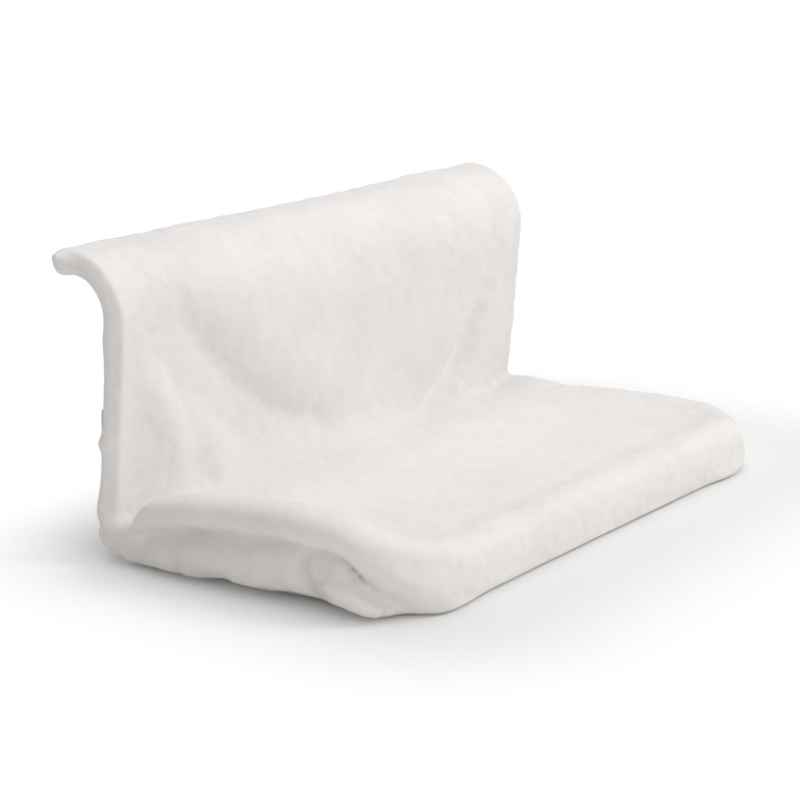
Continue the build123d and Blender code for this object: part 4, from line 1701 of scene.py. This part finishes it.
@dataclass
class BackLining(LiningSheet):
    """The back's woven rear, from the closure over the top bend to the hem, with openings for both rails."""

    name: str = "back_lining_cloth"
    rear: float = 5.6
    half: float = 211.0
    edge_pull: float = 1.0
    opening_low: float = 129.0
    opening_half: float = 17.0
    column_counts: tuple[int, int, int] = (20, 9, 24)
    hem_gap: float = 3.4
    held_over: float = 14.0
    seam_gap: float = 3.5
    seam_end: float = 3.0
    side_places: int = 20
    cross_places: int = 14

    def course(self) -> tuple[FlatLine, float, float]:
        """Up the back and round the top bend, inside the tubes.

        Returns:
            The sheet's side view, and the lengths along it where the sheet starts and ends.
        """
        level = self.layout.back_height - self.rear
        corners = [
            (self.layout.back_y(self.layout.closure_height, self.rear), self.layout.closure_height),
            (self.layout.back_y(level, self.rear), level),
            (self.layout.top_bar_y, level),
        ]
        line = FlatLine(rounded_line(corners, [self.layout.top_bend - self.rear], LINE_STEP))
        return line, 0.0, float(line.reach[-1]) - self.hem_gap

    def half_width(self, place: Array) -> float:
        """The same all the way up."""
        return self.half

    def columns(self) -> Array:
        """Even columns that meet the sides of the openings.

        Returns:
            Places across the sheet, as shares of its half width.
        """
        near = self.layout.rail_middle - self.opening_half
        far = self.layout.rail_middle + self.opening_half
        bounds = (0.0, near, far, self.half)
        spans = zip(bounds, bounds[1:], self.column_counts)
        parts = [np.linspace(start, end, count, endpoint=False) for start, end, count in spans]
        right = np.concatenate([*parts, [self.half]]) / self.half
        return np.concatenate([-right[:0:-1], right])

    def still(self, across: Array, place: Array) -> Array:
        """Flat where the closure presses on it."""
        top = self.layout.lining_top
        return np.full(len(across), 1.0 - smooth_step(place[1], top, top + self.held_over))

    def open_at(self, across: float, height: float) -> bool:
        """Openings for the rails."""
        return abs(abs(across) - self.layout.rail_middle) < self.opening_half and height > self.opening_low

    def seams(self) -> list[Array]:
        """Stitches beside and below each opening.

        Returns:
            Places along each row of stitches, on the sheet's rear face.
        """
        line, _, last = self.course()
        low = float(np.interp(self.opening_low, line.points[:, 1], line.reach)) - self.seam_gap
        reach = self.opening_half + self.seam_gap
        lines = []
        for hand in (-1, 1):
            middle = hand * self.layout.rail_middle
            for side in (-1, 1):
                heights = np.linspace(low, last - self.seam_end, self.side_places)
                lines.append(self._on_rear(line, [(middle + side * reach, along) for along in heights]))
            across = np.linspace(-1.0, 1.0, self.cross_places) * reach + middle
            lines.append(self._on_rear(line, [(x, low) for x in across]))
        return lines

    def _on_rear(self, line: FlatLine, spots: list[Span]) -> Array:
        """Places on the sheet's rear face.

        Args:
            line: The sheet's side view.
            spots: Distance across and length along the course of each place.

        Returns:
            The places in the hammock's axes.
        """
        places = []
        for x, along in spots:
            y, z = line.at(along) + line.right_of(along) * (self.thickness / 2 + self.ripple)
            places.append((x, y, z))
        return np.array(places)


# What repeats


def new_tree(name: str, sizes: Sequence[str]) -> tuple[Tree, Node]:
    """Starts a geometry tree.

    Args:
        name: The tree's name.
        sizes: Names of its inputs, each a size in metres or a plain number.

    Returns:
        The tree and its input node.
    """
    tree = bpy.data.node_groups.new(name, "GeometryNodeTree")
    tree.interface.new_socket(name="Geometry", in_out="INPUT", socket_type="NodeSocketGeometry")
    for size in sizes:
        tree.interface.new_socket(name=size, in_out="INPUT", socket_type="NodeSocketFloat")
    tree.interface.new_socket(name="Geometry", in_out="OUTPUT", socket_type="NodeSocketGeometry")
    return tree, tree.nodes.new("NodeGroupInput")


def end_tree(tree: Tree, copies: Socket, material: bpy.types.Material) -> None:
    """Makes the copies real, gives them their material and sends them out.

    Args:
        tree: The geometry tree.
        copies: Its instances.
        material: Their material.
    """
    real = add_node(tree, "GeometryNodeRealizeInstances", {"Geometry": copies}).outputs["Geometry"]
    dressed = add_node(tree, "GeometryNodeSetMaterial", {"Geometry": real, "Material": material})
    add_node(tree, "NodeGroupOutput", {"Geometry": dressed.outputs["Geometry"]})


def grow(piece: Piece, tree: Tree, sizes: dict[str, float]) -> None:
    """Runs a geometry tree on a piece and keeps the result as its plain mesh.

    Args:
        piece: The piece that the copies grow on.
        tree: The geometry tree.
        sizes: Value of each of its named inputs.
    """
    repeat = piece.modifiers.new(tree.name, "NODES")
    repeat.node_group = tree
    for socket in tree.interface.items_tree:
        if socket.in_out == "INPUT" and socket.name in sizes:
            repeat[socket.identifier] = sizes[socket.name]
    apply_modifiers(piece)


@dataclass
class Stitching:
    """Rows of thread stitches along lines on the cloth: small round-ended bars, half sunk in it.

    They are drawn as 1 mm bars of 4 mm, coarser than a real 0.4 mm thread, so that the seams show.
    """

    layout: Layout
    material: bpy.types.Material
    pitch: float = 5.2
    length: float = 4.0
    thread: float = 1.0
    sides: int = 6
    rings: int = 4

    def build(self, name: str, lines: Sequence[Array]) -> Piece:
        """Lays the stitches of a piece.

        Args:
            name: Name of the piece.
            lines: Places along each row of stitches.

        Returns:
            The stitches as one mesh.
        """
        piece = mesh_object(name, np.concatenate(lines), [], self.layout)
        edges, start = [], 0
        for line in lines:
            edges += [(start + k, start + k + 1) for k in range(len(line) - 1)]
            start += len(line)
        piece.data.edges.add(len(edges))
        piece.data.edges.foreach_set("vertices", np.array(edges, np.int32).ravel())
        piece.data.update()
        sizes = {"Pitch": self.pitch * MM, "Length": self.length * MM, "Thread": self.thread * MM}
        grow(piece, self._tree(), sizes)
        piece.data.shade_smooth()
        return piece

    def _tree(self) -> Tree:
        """Points at even distances along the lines, with a bar along the line at each.

        Returns:
            The geometry tree.
        """
        tree, given = new_tree("stitches", ("Pitch", "Length", "Thread"))
        pitch, length, thread = (given.outputs[size] for size in ("Pitch", "Length", "Thread"))
        curve = add_node(tree, "GeometryNodeMeshToCurve", {"Mesh": given.outputs["Geometry"]})
        inputs = {"Curve": curve.outputs["Curve"], "Length": pitch}
        points = add_node(tree, "GeometryNodeCurveToPoints", inputs, mode="LENGTH").outputs
        inputs = {"Segments": self.sides, "Rings": self.rings, "Radius": 0.5}
        # A bar 1 long and 1 thick, which each copy brings to its size.
        bar = add_node(tree, "GeometryNodeMeshUVSphere", inputs).outputs["Mesh"]
        size = add_node(tree, "ShaderNodeCombineXYZ", {"X": thread, "Y": thread, "Z": length})
        inputs = {"Points": points["Points"], "Instance": bar, "Rotation": points["Rotation"]}
        inputs["Scale"] = size.outputs["Vector"]
        copies = add_node(tree, "GeometryNodeInstanceOnPoints", inputs).outputs["Instances"]
        end_tree(tree, copies, self.material)
        return tree


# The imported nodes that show


NODE_SURFACES = {
    Surface.COATED_TUBE: (
        "lower_frame_tube", "left_side_tube", "right_side_tube", "top_bar", "tie_bar", "rear_cross_bar",
    ),
    Surface.COATED_STRAP: ("hook_rail_left", "hook_rail_right", "radiator_hook_left", "radiator_hook_right"),
    Surface.PLASTIC: ("top_bar_plugs",),
    Surface.ZINC: (
        "leg_joint_screws", "leg_joint_nuts", "clamp_washers", "bumper_screws",
        "clamp_bolt_left", "clamp_bolt_right", "wing_nut_left", "wing_nut_right",
    ),
    Surface.NICKEL: ("lining_eyelets",),
    Surface.RUBBER: ("rail_pad_left", "rail_pad_right", "bumper_left", "bumper_right"),
    Surface.VINYL: ("hook_sleeve_left", "hook_sleeve_right"),
    Surface.TAPE: ("closure_loop_strip", "closure_hook_strip"),
    Surface.WEBBING: ("crook_tie",),
}


# Studio


@dataclass
class Studio:
    """Pale floor, soft light and the camera at the photograph's angle.

    Sizes are in metres. A lamp is a name, a place, the side of its square and its power in watts.
    """

    eye: Place = (-1.1635, -0.8146, 0.4252)
    look: Place = (0.79104, 0.55999, -0.24629)
    lens: float = 102.8
    sky: str = "#F6F5F4"
    sky_strength: float = 0.42
    paper: str = "#F4F4F3"
    floor_radius: float = 6.0
    floor_glow: float = 0.02
    footprint: Place = (0.19, 0.08, 1.0)
    shadow_middle: Place = (0.03, -0.045, 0.0)
    shadow_reach: Span = (0.03, 0.16)
    lamps: tuple[tuple[str, Place, float, float], ...] = (
        ("key", (0.9, -1.4, 1.7), 0.9, 19.0),
        ("fill", (-0.9, -1.9, 0.9), 1.6, 9.0),
        ("top", (0.3, 0.4, 2.2), 1.6, 14.0),
    )
    lamp_aim: Place = (0.0, 0.0, 0.08)

    def build(self) -> None:
        """Sets up everything that isn't part of the object."""
        scene = bpy.context.scene
        scene.view_settings.view_transform = "Standard"
        self._camera(scene)
        self._world(scene)
        self._floor(scene)
        for name, place, size, power in self.lamps:
            self._lamp(name, place, size, power)

    def _camera(self, scene: bpy.types.Scene) -> None:
        """Level camera with no shift.

        Args:
            scene: The scene that it films.
        """
        data = bpy.data.cameras.new("camera")
        data.lens = self.lens
        camera = bpy.data.objects.new("camera", data)
        scene.collection.objects.link(camera)
        camera.location = self.eye
        camera.rotation_euler = Vector(self.look).to_track_quat("-Z", "Y").to_euler()
        scene.camera = camera

    def _world(self, scene: bpy.types.Scene) -> None:
        """Even grey light that looks white to the camera.

        Args:
            scene: The scene that it lights.
        """
        world = bpy.data.worlds.new("studio")
        scene.world = world
        world.use_nodes = True
        tree = world.node_tree
        tree.nodes.clear()
        lit, white = (
            add_node(tree, "ShaderNodeBackground", {"Color": srgb(code), "Strength": strength})
            for code, strength in ((self.sky, self.sky_strength), (WHITE, 1.0))
        )
        seen = self._backdrop(tree, lit.outputs["Background"], white.outputs["Background"])
        add_node(tree, "ShaderNodeOutputWorld", {"Surface": seen})

    def _backdrop(self, tree: Tree, lit: Socket, white: Socket) -> Socket:
        """Shows one shader to the camera, to gloss and to glass, and another to everything else.

        Args:
            tree: The tree of the world or of the floor's paper.
            lit: Shader that lights the object.
            white: Shader that is seen.

        Returns:
            The mixed shader.
        """
        rays = add_node(tree, "ShaderNodeLightPath").outputs
        seen = rays["Is Camera Ray"]
        for kind in ("Is Glossy Ray", "Is Transmission Ray"):
            either = add_node(tree, "ShaderNodeMath", {0: seen, 1: rays[kind]}, operation="MAXIMUM")
            seen = either.outputs["Value"]
        return add_node(tree, "ShaderNodeMixShader", {0: seen, 1: lit, 2: white}).outputs["Shader"]

    def _floor(self, scene: bpy.types.Scene) -> None:
        """Wide matt floor that keeps the object's soft shadow.

        Args:
            scene: The scene that gets it.
        """
        r = self.floor_radius
        mesh = bpy.data.meshes.new("floor")
        mesh.from_pydata([(-r, -r, 0.0), (r, -r, 0.0), (r, r, 0.0), (-r, r, 0.0)], [], [(0, 1, 2, 3)])
        floor = bpy.data.objects.new("floor", mesh)
        scene.collection.objects.link(floor)
        mesh.materials.append(self._paper())

    def _paper(self) -> bpy.types.Material:
        """Paper that is shaded round the object's footprint and turns white further out.

        Returns:
            The floor's material.
        """
        paper = bpy.data.materials.new("studio_paper")
        paper.use_nodes = True
        tree = paper.node_tree
        tree.nodes.clear()
        inputs = {"Color": srgb(self.paper), "Roughness": 1.0}
        shade = add_node(tree, "ShaderNodeBsdfDiffuse", inputs).outputs["BSDF"]
        lights = [{"Color": srgb(WHITE), "Strength": strength} for strength in (self.floor_glow, 1.0)]
        glow, white = (add_node(tree, "ShaderNodeEmission", light).outputs["Emission"] for light in lights)
        lifted = add_node(tree, "ShaderNodeAddShader", {0: shade, 1: glow}).outputs["Shader"]
        low, high = self.shadow_reach
        inputs = {"Value": self._distance(tree), "From Min": low, "From Max": high}
        far = add_node(tree, "ShaderNodeMapRange", inputs, interpolation_type="SMOOTHSTEP").outputs["Result"]
        shown = add_node(tree, "ShaderNodeMixShader", {0: far, 1: lifted, 2: white}).outputs["Shader"]
        add_node(tree, "ShaderNodeOutputMaterial", {"Surface": self._backdrop(tree, shade, shown)})
        return paper

    def _distance(self, tree: Tree) -> Socket:
        """Distance on the floor from the object's footprint.

        Args:
            tree: The paper's tree.

        Returns:
            The distance, 0 inside the footprint.
        """
        place = add_node(tree, "ShaderNodeTexCoord").outputs["Object"]
        for operation, other in (
            ("SUBTRACT", self.shadow_middle),
            ("ABSOLUTE", (0.0, 0.0, 0.0)),
            ("SUBTRACT", self.footprint),
            ("MAXIMUM", (0.0, 0.0, 0.0)),
        ):
            moved = add_node(tree, "ShaderNodeVectorMath", {0: place, 1: other}, operation=operation)
            place = moved.outputs["Vector"]
        return add_node(tree, "ShaderNodeVectorMath", {0: place}, operation="LENGTH").outputs["Value"]

    def _lamp(self, name: str, place: Place, size: float, power: float) -> None:
        """Square soft box that faces the object.

        Args:
            name: Name of the lamp.
            place: Its place.
            size: Side of its square.
            power: Its power in watts.
        """
        data = bpy.data.lights.new(name, "AREA")
        data.shape = "SQUARE"
        data.size = size
        data.energy = power
        lamp = bpy.data.objects.new(name, data)
        bpy.context.scene.collection.objects.link(lamp)
        lamp.location = place
        lamp.rotation_euler = (Vector(self.lamp_aim) - Vector(place)).to_track_quat("-Z", "Y").to_euler()


def dress_packed_nodes() -> None:
    """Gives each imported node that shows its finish."""
    for surface, names in NODE_SURFACES.items():
        for name in names:
            surface.dress(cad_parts[name])
        LOG.info("%s: %s", surface.value.name, ", ".join(names))


def add_cover(layout: Layout) -> None:
    """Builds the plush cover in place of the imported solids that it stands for.

    Args:
        layout: Where the frame's tubes run.
    """
    cover = PlushCover(layout).build()
    Surface.PLUSH.dress(cover)
    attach(cover, "frame")
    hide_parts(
        "top_hem_roll", "back_plush_panel", "left_side_sleeve", "right_side_sleeve", "left_bolster",
        "front_roll", "seat_plush_panel", "seat_padding", "left_edge_sleeve", "right_edge_sleeve",
    )
    LOG.info("plush_cover: %d faces", len(cover.data.polygons))


def add_lining(lining: LiningSheet, node: str, stitching: Stitching) -> None:
    """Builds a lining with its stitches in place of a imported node.

    Args:
        lining: The sheet.
        node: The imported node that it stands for.
        stitching: Makes its stitches.
    """
    sheet = lining.build()
    Surface.LINING.dress(sheet)
    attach(sheet, "frame")
    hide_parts(node)
    stitches = stitching.build(node + "_stitches", lining.seams())
    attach(stitches, "frame")
    LOG.info("%s: %.0f by %.0f mm flat", sheet.name, lining.flat_size[0] / MM, lining.flat_size[1] / MM)


def main() -> None:
    """Builds the hammock's looks, piece by piece, and the studio round it."""
    logging.basicConfig(level=logging.INFO, format="%(message)s")
    layout = Layout.read()
    LOG.info("layout %s", layout)
    Studio().build()
    dress_packed_nodes()
    add_cover(layout)
    stitching = Stitching(layout, Surface.THREAD.material())
    add_lining(SeatLining(layout), "seat_lining", stitching)
    add_lining(BackLining(layout), "back_lining", stitching)


if __name__ == "__main__":
    main()
